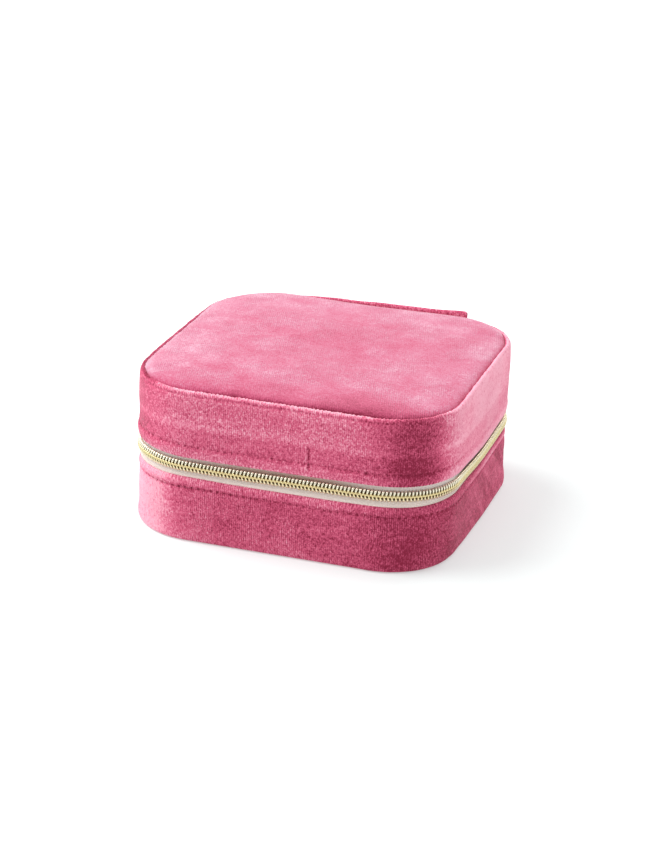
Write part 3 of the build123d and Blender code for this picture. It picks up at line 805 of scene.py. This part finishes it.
def panel(name, inset, rings, height, under, ang=480, spread=None):
    """A panel over the whole plan: rings of points shrinking to the middle. height(d, x, y) is its face, under its back.
    spread(x, y) is how far the edge is pushed out over what it meets."""
    u = np.arange(ang) * LENGTH / ang
    p, n, _ = outline(u)
    rim = p - n * inset
    k = np.concatenate([1 - np.array(rings) / 47.0, [0.0]])
    top = rim[None] * k[:-1, None, None]
    if spread is not None:
        dd = np.maximum(rim_distance(top[..., 0], top[..., 1], inset), 0)
        fx, fy = edge_facing(top[..., 0], top[..., 1])
        by = spread(top[..., 0], top[..., 1]) * np.exp(-dd / 2.5)
        top = top + np.stack([fx, fy], -1) * by[..., None]
    x, y = top[..., 0], top[..., 1]
    d = rim_distance(x, y, inset)
    z = height(d, x, y)
    face = np.stack([x, y, z], -1).reshape(-1, 3)
    back = np.stack([rim[:, 0], rim[:, 1], np.full(ang, under)], -1)
    centre = np.array([[0, 0, height(np.array([40.0]), np.array([0.0]), np.array([0.0]))[0]], [0, 0, under]])
    verts = np.concatenate([face, back, centre])
    rows = len(rings)
    faces = grid_faces(rows, ang, wrap_c=True).tolist()
    first, c0 = rows * ang, rows * ang + ang
    for j in range(ang):
        q = (j + 1) % ang
        faces.append([(rows - 1) * ang + j, (rows - 1) * ang + q, c0])
        faces.append([first + j, j, q, first + q])
        faces.append([first + q, c0 + 1, first + j])
    ob = mesh_object(name, verts, faces)
    fix_normals(ob)
    return ob


RINGS = [0.0, 0.12, 0.26, 0.42, 0.62, 0.86, 1.15, 1.5, 1.95, 2.5, 3.2, 4.0, 5.0, 6.2, 7.6, 9.2, 11.0, 13.0, 15.2, 17.6, 20.2, 23.0, 26.0, 29.0, 32.0, 35.0, 38.0, 40.5, 43.0, 45.0]


def lid_top_height(d, x, y):
    d = np.maximum(d, 0)
    z = 46.75 + 1.15 * (1 - np.exp(-d / 1.15)) + 1.0 * (1 - np.exp(-d / 7.0)) + 0.72 * pressed(x, y) * np.exp(-d / 5.0)
    z = z + 0.5 * smooth(-5.0, 30.0, x) * smooth(28.0, 44.0, y) * np.exp(-d / 7.0)
    z = z + 0.5 * near(x, -26.0, 15.0) * smooth(30.0, 42.0, y) * smooth(0.0, 1.2, d) * np.exp(-d / 9.0)
    pts = np.stack([x, y, np.full_like(x, 3.0)], -1).reshape(-1, 3)
    z = z + (0.30 * field(pts, 27.0, 8) + 0.08 * field(pts, 9.0, 9)).reshape(x.shape) * smooth(0.0, 6.0, d)
    return z


def set_tones(ob, wv, fold, nap):
    for key, kind, prop, values in (("wv", "FLOAT_VECTOR", "vector", wv), ("fold", "FLOAT", "value", fold), ("nap", "FLOAT", "value", nap)):
        ob.data.attributes.new(key, kind, "POINT").data.foreach_set(prop, np.asarray(values, np.float32).ravel())


lid_top = panel("lid_velvet_top", 1.95, RINGS, lid_top_height, 46.6, spread=lambda x, y: 0.8 * pressed(x, y) * (x < 0))
co = np.array([v.co for v in lid_top.data.vertices]) / MM
wv = np.stack([co[:, 0] * 0.97 + co[:, 1] * 0.24, co[:, 1] * 0.97 - co[:, 0] * 0.24, np.zeros(len(co))], 1)
dd = np.maximum(rim_distance(co[:, 0], co[:, 1], 1.95), 0)
front = smooth(-20.0, -44.0, co[:, 1])
full = pressed(co[:, 0], co[:, 1])
rough = field(np.stack([co[:, 0], co[:, 1], 0 * dd], 1), 1.3, 31)
# painted shade in the groove round the panel's rim, and a painted highlight on the rim where the panel is full
tone = -(1.0 + 0.9 * rough) * np.exp(-dd / 0.6) * (1 - full) + 0.55 * np.exp(-dd / 1.1) * full
# painted shade near the rim and along the front near the seam, painted light towards the back and the left
nap = 0.66 - 0.12 * np.exp(-dd / 2.0) - front * np.exp(-dd / 7.5) * (0.2 + 0.34 * near(co[:, 0], 22.0, 17.0)) * smooth(-44.0, -30.0, co[:, 0])
nap += 0.08 * smooth(10.0, 42.0, co[:, 1]) + 0.06 * smooth(-15.0, -46.0, co[:, 0])
fx, fy = edge_facing(co[:, 0], co[:, 1])
# a painted highlight on the rim at the front left, slightly darker just inside that corner
nap += 0.34 * np.exp(-dd / 3.0) * near(np.degrees(np.arctan2(-fy, -fx)), 30.0, 24.0) * (co[:, 0] < 0) - 0.06 * near(co[:, 0], -30.0, 9.0) * near(co[:, 1], -32.0, 9.0)
# paler towards the rim, darker at the middle
nap += 0.05 * smooth(12.0, 44.0, np.hypot(co[:, 0], co[:, 1])) - 0.06 * np.exp(-(co[:, 0] ** 2 + (co[:, 1] - 4) ** 2) / 400.0)
# a painted highlight along the right edge
nap += 0.24 * np.exp(-dd / 1.9) * smooth(0.4, 0.85, edge_facing(co[:, 0], co[:, 1])[0])
set_tones(lid_top, wv, tone, nap)
wear(lid_top, mat_top)
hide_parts("lid_top_velvet")
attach(lid_top, "lid")


def under_height(d, x, y):
    return 0.42 - 0.42 * (1 - np.exp(-np.maximum(d, 0) / 0.9)) + 0.0 * x


bottom = panel("base_velvet_bottom", 1.95, RINGS, under_height, 1.1)
co = np.array([v.co for v in bottom.data.vertices]) / MM
wv = np.stack([co[:, 0], co[:, 1], np.zeros(len(co))], 1)
set_tones(bottom, wv, np.zeros(len(co)), np.full(len(co), 0.5))
wear(bottom, mat_top)
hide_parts("base_bottom_velvet")
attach(bottom, "base")


# ------------------------------------------------------------------ topstitching
def stitches(name, z0, phase, body, shift, u_from=0.0, u_to=LENGTH):
    """Short lengths of thread lying in the channel, one between each two needle holes."""
    parts = []
    count = int((u_to - u_from) / STITCH)
    for i in range(count):
        a, b = (i + 0.62) * STITCH + u_from, (i + 1.38) * STITCH + u_from
        uu = np.linspace(a, b, 6)
        p, n, t = outline(uu)
        wob = 0.14 * np.sin(uu / 9.0 + phase) + 0.08 * np.sin(uu / 3.7 + 2 * phase)
        arch = np.sin(np.linspace(0, math.pi, 6))
        out, rise = shift(uu, 0.0, np.full(6, z0))
        inset = 0.55 - 0.22 * arch - out
        path = np.column_stack([p - n * inset[:, None], z0 + wob + rise])
        v, f = tube("", path, np.tile([0, 0, 1.0], (6, 1)), 0.13, 0.11, 6)
        parts.append((v, f))
    v, f = join_parts(parts)
    ob = mesh_object(name, v, f)
    wear(ob, mat_thread)
    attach(ob, body)
    return ob


def thread(name):
    k = Nodes(name)
    pos = k.coords()
    ply = k.noise(pos, 6.0, 2.0, 0.5)
    k.put(k.b.inputs["Base Color"], k.mix(k.ramp(ply, 0.4, 0.6), rgb("A23C5C"), rgb("C65C7C")))
    k.put(k.b.inputs["Normal"], k.bump(ply, 0.00005, 0.6))
    k.b.inputs["Roughness"].default_value = 0.6
    k.b.inputs["Sheen Weight"].default_value = 0.2
    return k.m


mat_thread = thread("sewing_thread")
stitches("lid_topstitch", LID_STITCH_Z, 0.0, "lid", lid_shift)
stitches("base_topstitch", BASE_STITCH_Z, 1.3, "base", base_shift)


# ------------------------------------------------------------------ zip
CHAIN_U0, CHAIN_U1 = 30.72, LENGTH - 30.5
SLIDER_Y = 21.0
SLIDER_U = LEFT_START + (ARC_Y - SLIDER_Y)


TAPE_FACE = 1.5         # the tape's outer face, in from the side of the box


def tape_profile(sign):
    """Tape section from under the hem to the chain, in (inset, z)."""
    z = lambda h: ZIP_Z + sign * h
    a, b = TAPE_FACE, TAPE_FACE + 0.36
    pts = [(a, z(8.3)), (a, z(0.45)), (a + 0.1, z(0.34)), (b - 0.1, z(0.34)), (b, z(0.45)), (b, z(8.3)), (a, z(8.3))]
    return pts if sign > 0 else [(i, h) for i, h in reversed(pts)]


def tape_shift(u, inset, z):
    out, rise = chain_shift(u)
    ledge = 0.7 * smooth(22.3, 20.7, z) * smooth(19.4, 20.2, z) * (0.6 + 0.4 * smooth(126.0, 165.0, u))       # pushed out where it comes from under the lower hem
    return out * (1 - smooth(3.0, 6.5, np.abs(z - ZIP_Z))) + ledge, rise


for side, sign, body in (("lid", 1, "lid"), ("base", -1, "base")):
    t = band(f"zip_tape_{side}_cloth", tape_profile(sign), 0.8, 0.5, None, u_range=(25.5, LENGTH - 25.5), shift=tape_shift)
    wear(t, mat_tape if side == "lid" else mat_tape_low)
    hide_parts(f"zip_tape_{side}")
    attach(t, body)

# One turn of the coil: (share of the pitch, height from the chain's centre, inset), starting at the head.
TURN = np.array([
    (0.00, -0.13, 0.54), (0.08, 0.02, 0.40), (0.16, 0.28, 0.46), (0.25, 0.68, 0.52), (0.33, 1.06, 0.62),
    (0.40, 1.36, 0.84), (0.48, 1.50, 1.12), (0.58, 1.38, 1.24), (0.70, 0.98, 1.25), (0.82, 0.46, 1.22),
    (0.92, 0.08, 1.08), (0.97, -0.13, 0.84),
])


def catmull(points, per):
    """Closed smooth curve through one turn's points, the next turn one pitch on."""
    n = len(points)
    ext = np.concatenate([points[-1:] - [1, 0, 0], points, points[:2] + [1, 0, 0]])
    out = []
    for i in range(n):
        p0, p1, p2, p3 = ext[i], ext[i + 1], ext[i + 2], ext[i + 3]
        for j in range(per):
            t = j / per
            out.append(0.5 * (2 * p1 + (p2 - p0) * t + (2 * p0 - 5 * p1 + 4 * p2 - p3) * t * t + (3 * p1 - p0 - 3 * p2 + p3) * t ** 3))
    return np.array(out)


def coil(name, side, sign, body, offset):
    turn = catmull(TURN, 2)
    turns = int((CHAIN_U1 - CHAIN_U0) / PITCH) - 1
    rows = np.concatenate([turn + [i, 0, 0] for i in range(turns)])
    u = CHAIN_U0 + (rows[:, 0] + offset) * PITCH
    h, inset = rows[:, 1], rows[:, 2]
    spread = 0.3 * (1 - smooth(SLIDER_U - 6.0, SLIDER_U + 3.0, u))
    p, n, t = outline(u)
    out, rise = chain_shift(u)
    path = np.column_stack([p - n * (inset - out)[:, None], ZIP_Z + sign * (h + spread) + rise])
    fb = np.column_stack([t, np.zeros(len(t))])
    face = np.interp(h, [-0.2, 0.12, 0.34, 0.6, 1.0, 1.4], [0.36, 0.34, 0.25, 0.28, 0.36, 0.39])
    v, f = tube(name, path, fb, np.where(inset < 1.18, face, 0.3), 0.26, 8)
    # painted highlight, pale on the crowns, and painted shade, deeper gold down in the coupling; less of the highlight
    # on the lower coil and along the right side
    crown = smooth(0.2, 0.9, h) * (1.0 if sign > 0 else 0.45) * (1 - 0.4 * smooth(238.0, 252.0, u) * (1 - smooth(300.0, 321.0, u)))
    ob = mesh_object(name, v, f, {"nap": np.repeat(crown, 8)})
    wear(ob, mat_coil)
    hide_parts(f"zip_coil_{side}")
    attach(ob, body)
    # the cord inside the coil, dark brown as painted shade for the gaps between the turns
    uu = np.linspace(CHAIN_U0 - 0.6, CHAIN_U1 + 0.4, 420)
    p, n, t = outline(uu)
    out, rise = chain_shift(uu)
    spread = 0.3 * (1 - smooth(SLIDER_U - 6.0, SLIDER_U + 3.0, uu))
    path = np.column_stack([p - n * (0.93 - out)[:, None], ZIP_Z + sign * (0.78 + spread) + rise])
    v, f = tube("", path, np.tile([0, 0, 1.0], (len(t), 1)), 0.4, 0.1, 8)
    core = mesh_object(f"zip_core_{side}", v, f)
    wear(core, mat_core)
    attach(core, body)
    return ob


# dark brown cord: painted shade, standing in for the shadow in the gaps between the coil's turns
def core_cord(name):
    k = Nodes(name)
    n = k.noise(k.coords(), 3.0, 2.0, 0.6)
    k.put(k.b.inputs["Base Color"], k.mix(k.ramp(n, 0.35, 0.65), rgb("4A3A22"), rgb("6A5636")))
    k.put(k.b.inputs["Normal"], k.bump(n, 0.00008, 0.7))
    k.b.inputs["Roughness"].default_value = 0.8
    return k.m


mat_core = core_cord("core_cord")
coil("zip_coil_lid_loops", "lid", 1, "lid", 0.0)
coil("zip_coil_base_loops", "base", -1, "base", 0.5)

# ------------------------------------------------------------------ hinge patch
hx0, hx1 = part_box("hinge_patch_lid")[0].x / MM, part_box("hinge_patch_lid")[1].x / MM
PATCH_BOTTOM = 5.0


def patch():
    nx, nz = 120, 110
    x = np.linspace(hx0 + 0.1, hx1 + 0.6, nx)
    s = np.linspace(0, 1, nz)
    X, S = np.meshgrid(x, s, indexing="ij")
    left = smooth(hx0 + 2, hx1, X)
    top = 46.9 + 1.0 * (1 - np.exp(-(X - hx0) / 9.0)) + 0.85 * (X - hx0) / (hx1 - hx0) + 0.08 * np.sin(X / 4.0) + 0.05 * np.sin(X / 2.1 + 1)
    top = top + 0.3 * smooth(12.0, hx1, X) - 0.8 * (1 - np.sqrt(1 - np.clip((X - hx1 + 0.3) / 0.95, 0, 0.98) ** 2))
    Z = PATCH_BOTTOM + (top - PATCH_BOTTOM) * S
    edge = np.minimum.reduce([X - hx0, hx1 + 0.7 - X, (top - Z), Z - PATCH_BOTTOM])
    hem = np.exp(-(((edge - 1.1) / 0.9) ** 2))
    channel = np.exp(-(((edge - 2.6) / 0.35) ** 2))
    run = np.where(np.minimum(X - hx0, hx1 - X) < np.minimum(top - Z, Z - PATCH_BOTTOM), Z, X)
    holes = channel * np.exp(-((((run / STITCH) % 1.0 - 0.5) * STITCH / 0.3) ** 2))
    pts = np.stack([X, 0 * X, Z], -1).reshape(-1, 3)
    soft = field(pts, 14.0, 21).reshape(X.shape)
    y_out = 50.35 + 0.18 * soft + 0.22 * hem - 0.32 * channel - 0.3 * holes
    y_out = y_out - 0.55 * np.exp(-np.clip(edge - 0.02, 0, 9) / 0.3)
    y_in = np.full_like(X, 49.12) + 0.32 * np.exp(-np.clip(edge, 0, 9) / 0.3)
    lean = 0.35 * smooth(47.0, 49.5, Z) * left
    outer = np.stack([X, y_out + lean, Z], -1)
    inner = np.stack([X, y_in + lean, Z], -1)
    verts = np.concatenate([outer.reshape(-1, 3), inner.reshape(-1, 3)])
    f1 = grid_faces(nx, nz)
    f2 = grid_faces(nx, nz)[:, ::-1] + nx * nz
    faces = f1.tolist() + f2.tolist()
    k = nx * nz
    for i in range(nx - 1):
        for j in (0, nz - 1):
            a, b = i * nz + j, (i + 1) * nz + j
            faces.append([a, b, b + k, a + k])
    for j in range(nz - 1):
        for i in (0, nx - 1):
            a, b = i * nz + j, i * nz + j + 1
            faces.append([a, b, b + k, a + k])
    wv = np.stack([X, Z, 0 * X], -1).reshape(-1, 3)
    # painted highlight on the hem and on the very edge, painted shade in the stitch channel and its needle holes
    fold = (0.35 * hem - 0.5 * channel - 0.8 * holes + 0.5 * np.exp(-np.clip(edge, 0, 9) / 0.25)).reshape(-1)
    ob = mesh_object("hinge_patch_velvet", verts, faces, {"wv": np.concatenate([wv, wv]), "fold": np.concatenate([fold, 0 * fold]), "nap": np.full(2 * len(fold), 0.55)})
    fix_normals(ob)
    wear(ob, mat_side)
    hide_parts("hinge_patch_lid", "hinge_patch_base")
    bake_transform(ob)
    return ob


patch()

# ------------------------------------------------------------------ linings
def board_wrap(name, pts, body, node, seed):
    """Lining glued to a board's inner wall, over its rim and down its outer face."""
    def relief(U, V, inset, z, xyz):
        soft = field(xyz.reshape(-1, 3), 8.0, seed).reshape(U.shape)
        return 0.07 * soft * (inset > 6.1) * smooth(1.0, 3.0, np.abs(z - 23.9))

    ob = band(name, rounded(pts, 0.12, 3), 1.1, 0.9, relief)
    wear(ob, mat_lining)
    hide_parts(node)
    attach(ob, body)
    return ob


board_wrap("lid_lining_cloth", [
    (6.2, 42.5), (6.2, 24.5), (6.02, 24.06), (5.6, 23.915), (3.4, 23.915), (3.1, 24.1), (3.05, 24.6), (3.05, 30.5),
    (3.46, 30.5), (3.46, 23.99), (5.54, 23.99), (5.54, 42.5), (6.2, 42.5)], "lid", "lid_lining", 31)
board_wrap("base_lining_cloth", [
    (6.2, 3.3), (6.2, 23.3), (6.02, 23.74), (5.6, 23.885), (3.4, 23.885), (3.1, 23.7), (3.05, 23.2), (3.05, 19.65),
    (3.46, 19.65), (3.46, 23.81), (5.54, 23.81), (5.54, 3.3), (6.2, 3.3)], "base", "base_lining", 32)


def floor_height(d, x, y):
    pts = np.stack([x, y, 0 * x], -1).reshape(-1, 3)
    return 3.5 + 0.34 * (1 - np.exp(-np.maximum(d, 0) / 0.7)) + 0.05 * field(pts, 7.0, 33).reshape(x.shape)


pad = panel("floor_pad_cloth", 6.22, RINGS, floor_height, 3.22, ang=300)
wear(pad, mat_lining)
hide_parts("floor_pad")
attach(pad, "base")


def frame_pad():
    """The padded frame round the mirror, face down inside the lid."""
    lo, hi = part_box("mirror_panel")
    z0, z1 = lo.z / MM, hi.z / MM
    ang = 320
    u = np.arange(ang) * LENGTH / ang
    p, n, _ = outline(u)
    outer = p - n * 6.32
    a = np.arctan2(outer[:, 1], outer[:, 0])
    ray = np.stack([np.cos(a), np.sin(a)], 1)
    half, r = 29.15, 6.1
    near_r, far_r = np.full(ang, 10.0), np.full(ang, 45.0)
    for _ in range(40):
        mid = (near_r + far_r) / 2
        q = np.abs(ray * mid[:, None]) - (half - r)
        inside = np.hypot(np.maximum(q[:, 0], 0), np.maximum(q[:, 1], 0)) + np.minimum(np.maximum(q[:, 0], q[:, 1]), 0) - r < 0
        near_r, far_r = np.where(inside, mid, near_r), np.where(inside, far_r, mid)
    inner = ray * near_r[:, None]
    steps = [0.0, 0.015, 0.04, 0.08, 0.14, 0.22, 0.32, 0.44, 0.56, 0.68, 0.78, 0.86, 0.92, 0.96, 0.985, 1.0]
    rows = []
    width = np.linalg.norm(outer - inner, axis=1)
    for t in steps:
        q = outer * (1 - t) + inner * t
        e = np.minimum(t * width, (1 - t) * width)
        puff_z = 0.55 * np.exp(-e / 0.55)
        soft = 0.06 * field(np.column_stack([q, np.zeros(ang)]), 7.0, 35)
        rows.append(np.column_stack([q, z0 + 0.02 + puff_z + np.maximum(soft, -0.02)]))
    rows.append(np.column_stack([inner, np.full(ang, z1)]))
    rows.append(np.column_stack([outer, np.full(ang, z1)]))
    verts = np.concatenate(rows)
    faces = grid_faces(len(rows), ang, wrap_r=True, wrap_c=True)
    ob = mesh_object("mirror_frame_pad", verts, faces)
    fix_normals(ob)
    wear(ob, mat_lining)
    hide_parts("mirror_panel")
    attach(ob, "lid")


frame_pad()


# ------------------------------------------------------------------ dividers
def divider(node, along_x):
    """A board wrapped in lining: flat sides, a soft rounded top."""
    lo, hi = (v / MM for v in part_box(node))
    axis = 0 if along_x else 1
    a0, a1, b0, b1 = lo[axis], hi[axis], lo[1 - axis], hi[1 - axis]
    mid, t = (b0 + b1) / 2, (b1 - b0) / 2
    prof = [(-t, lo.z - 0.1), (-t, hi.z - t)] + [(-t * math.cos(k), hi.z - t + t * math.sin(k)) for k in np.linspace(0.2, math.pi - 0.2, 9)] + [(t, hi.z - t), (t, lo.z - 0.1)]
    prof = resample(prof, 0.9)
    n = int((a1 - a0) / 0.9)
    s = np.linspace(a0, a1, n)
    S, K = np.meshgrid(s, np.arange(len(prof)), indexing="ij")
    c, z = prof[K, 0], prof[K, 1]
    pts = np.stack([S, c * 3, z], -1).reshape(-1, 3)
    soft = field(pts, 6.0, 41 + axis).reshape(S.shape)
    c = c + 0.09 * soft * np.sign(c) * smooth(lo.z, lo.z + 2, z)
    z = z + 0.06 * field(pts, 9.0, 43).reshape(S.shape) * smooth(hi.z - 2, hi.z, z) - 0.05
    verts = np.stack([S, mid + c, z] if along_x else [mid + c, S, z], -1).reshape(-1, 3)
    m = len(prof)
    faces = grid_faces(n, m, wrap_c=True).tolist() + [list(range(m)), [(n - 1) * m + k for k in reversed(range(m))]]
    ob = mesh_object(node + "_cloth", verts, faces)
    fix_normals(ob)
    wear(ob, mat_lining)
    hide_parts(node)
    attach(ob, "base")


divider("divider_long", True)
divider("divider_left", False)
divider("divider_right", False)


# ------------------------------------------------------------------ ring rolls
def puff(ob, pinned, most, pressure=6.0, frames=16, grow=10.0):
    """Cloth simulation on a padded piece, run at grow times its size. No point moves more than most, in metres. The result is applied to the mesh."""
    me = ob.data
    n = len(me.vertices)
    start = np.empty(n * 3)
    me.vertices.foreach_get("co", start)
    me.transform(Matrix.Scale(grow, 4))
    ob.vertex_groups.new(name="pin").add([int(i) for i in pinned], 1.0, "REPLACE")
    mod = ob.modifiers.new("cloth", "CLOTH")
    c = mod.settings
    c.quality = 6
    c.mass = 0.25
    c.tension_stiffness = c.compression_stiffness = 12
    c.shear_stiffness = 6
    c.bending_stiffness = 0.6
    c.use_pressure = True
    c.uniform_pressure_force = pressure
    c.effector_weights.gravity = 0.0
    c.vertex_group_mass = "pin"
    mod.collision_settings.use_collision = False
    mod.collision_settings.use_self_collision = False
    for f in range(1, frames + 1):
        bpy.context.scene.frame_set(f)
    got = ob.evaluated_get(bpy.context.evaluated_depsgraph_get()).data
    end = np.empty(n * 3)
    got.vertices.foreach_get("co", end)
    ob.modifiers.remove(mod)
    ob.vertex_groups.clear()
    bpy.context.scene.frame_set(1)
    start = start.reshape(-1, 3)
    move = end.reshape(-1, 3) / grow - start
    size = np.linalg.norm(move, axis=1)
    move *= (most * np.tanh(size / most) / np.maximum(size, 1e-12))[:, None]
    me.vertices.foreach_set("co", (start + move).ravel())
    me.update()


def ring_roll(node, seed):
    """A foam roll in its cover: upright oval section, gathered and sewn at both ends."""
    lo, hi = (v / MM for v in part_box(node))
    ry, rz = (hi.y - lo.y) / 2 - 0.12, (hi.z - lo.z) / 2 - 0.12
    cy, cz = (lo.y + hi.y) / 2, (lo.z + hi.z) / 2
    m = 72
    a = np.arange(m) * 2 * math.pi / m - math.pi / 2
    power = 2 / 2.7
    ca, sa = np.cos(a), np.sin(a)
    sec = np.column_stack([ry * np.sign(ca) * np.abs(ca) ** power, rz * np.sign(sa) * np.abs(sa) ** power])
    x0, x1 = lo.x + 0.1, hi.x - 0.1
    ends = [(0.55, 0.30), (0.30, 0.55), (0.12, 0.78), (0.25, 0.91), (0.8, 0.975), (1.6, 1.0)]
    n_mid = int((x1 - x0 - 4.8) / 1.15)
    xs = [x0 + e for e, _ in ends] + list(np.linspace(x0 + 2.4, x1 - 2.4, n_mid)) + [x1 - e for e, _ in reversed(ends)]
    ks = [k for _, k in ends] + [1.0] * n_mid + [k for _, k in reversed(ends)]
    rows = []
    for x, k in zip(xs, ks):
        d = min(x - x0, x1 - x)
        gather = 0.16 * math.exp(-d / 2.6) * np.sin(11 * a + seed) + 0.09 * math.exp(-d / 5.0) * np.sin(17 * a + 2 * seed)
        flat = sec * (k + (gather / ry)[:, None] * (k > 0.5))
        rows.append(np.column_stack([np.full(m, x), cy + flat[:, 0], cz + flat[:, 1]]))
    verts = np.concatenate(rows)
    verts[:, 1:] += 0.12 * np.column_stack([field(verts, 8.0, seed), field(verts, 8.0, seed + 1)]) * (np.abs(verts[:, 2:3] - lo.z) > 1.5)
    n = len(rows)
    faces = grid_faces(n, m, wrap_c=True).tolist()
    verts = np.concatenate([verts, [[x0 + 0.65, cy, cz], [x1 - 0.65, cy, cz]]])
    for k in range(m):
        faces.append([k, (k + 1) % m, n * m])
        faces.append([(n - 1) * m + (k + 1) % m, (n - 1) * m + k, n * m + 1])
    ob = mesh_object(node + "_cushion", verts, faces)
    fix_normals(ob)
    low = np.where(verts[:, 2] < lo.z + 0.8)[0]
    seam = np.where((np.abs(verts[:, 0] - x0) < 0.2) | (np.abs(verts[:, 0] - x1) < 0.2))[0]
    puff(ob, np.unique(np.concatenate([low, seam])), 0.00035)
    fine = ob.modifiers.new("fine", "SUBSURF")
    fine.levels = fine.render_levels = 1
    wear(ob, mat_roll)
    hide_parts(node)
    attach(ob, "base")


ring_roll("ring_roll_rear", 51)
ring_roll("ring_roll_middle", 54)
ring_roll("ring_roll_front", 57)


# ------------------------------------------------------------------ carried-over CAD nodes
NODE_MATERIALS = {
    "lid_board": mat_board, "base_board": mat_board, "lid_top_foam": mat_foam, "lid_side_foam": mat_foam,
    "base_side_foam": mat_foam, "mirror": mat_mirror, "zip_stop_lid": mat_metal, "zip_stop_base": mat_metal,
    "zip_slider": mat_metal, "zip_pull": mat_metal,
}
for node, material in NODE_MATERIALS.items():
    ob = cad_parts[node]
    for s in ob.material_slots:
        s.material = material

# ------------------------------------------------------------------ set, light, camera
scene = bpy.context.scene
scene.view_settings.view_transform = "Standard"

floor = bpy.data.meshes.new("floor")
floor.from_pydata([(-3, -3, 0), (3, -3, 0), (3, 3, 0), (-3, 3, 0)], [], [(0, 1, 2, 3)])
floor_ob = bpy.data.objects.new("floor", floor)
scene.collection.objects.link(floor_ob)
fm = Nodes("pale_floor")
fm.b.inputs["Base Color"].default_value = (0.56, 0.595, 0.59, 1)
fm.b.inputs["Roughness"].default_value = 0.95
fm.b.inputs["Specular IOR Level"].default_value = 0.0
fm.b.inputs["Emission Color"].default_value = (0.96, 1, 0.995, 1)
fm.b.inputs["Emission Strength"].default_value = 0.36
wear(floor_ob, fm.m)

world = bpy.data.worlds.new("studio")
scene.world = world
world.use_nodes = True
bg = world.node_tree.nodes["Background"]
bg.inputs[0].default_value = (1, 1, 1, 1)
bg.inputs[1].default_value = 0.72


def area(name, at, to, size, power, colour=(1, 1, 1)):
    l = bpy.data.lights.new(name, "AREA")
    l.shape = "DISK"
    l.size = size
    l.energy = power
    l.color = colour
    o = bpy.data.objects.new(name, l)
    o.location = at
    o.rotation_mode = "QUATERNION"
    o.rotation_quaternion = (Vector(to) - Vector(at)).to_track_quat("-Z", "Y")
    scene.collection.objects.link(o)
    return o


area("key", (-0.6, -0.05, 0.75), (0, 0, 0.03), 0.9, 11.0)
area("back", (0.25, 0.75, 0.55), (0, 0, 0.03), 0.6, 3.0)
area("side", (0.8, -0.2, 0.3), (0, 0, 0.03), 0.6, 0.8)

cam = bpy.data.cameras.new("camera")
cam_ob = bpy.data.objects.new("camera", cam)
scene.collection.objects.link(cam_ob)
scene.camera = cam_ob
AZ, EL, DIST, FOCAL, ROLL, TX, TY = 16.946, 21.349, 726.033, 2350.394, -2.163, 2.714, -11.09
az, el = math.radians(AZ), math.radians(EL)
back = Vector((math.sin(az) * math.cos(el), -math.cos(az) * math.cos(el), math.sin(el)))
right = Vector((math.cos(az), math.sin(az), 0))
up = back.cross(right)
roll = math.radians(-ROLL)
right_r = right * math.cos(roll) + up * math.sin(roll)
up_r = up * math.cos(roll) - right * math.sin(roll)
rot = Matrix((right_r, up_r, back)).transposed()
cam_ob.matrix_world = Matrix.Translation(Vector((0, 0, 0.025)) + back * DIST * MM) @ rot.to_4x4()
cam.sensor_width = 36.0
cam.lens = FOCAL / 864 * 36.0
cam.shift_x = -TX / 864
cam.shift_y = TY / 864
cam.clip_start, cam.clip_end = 0.05, 20
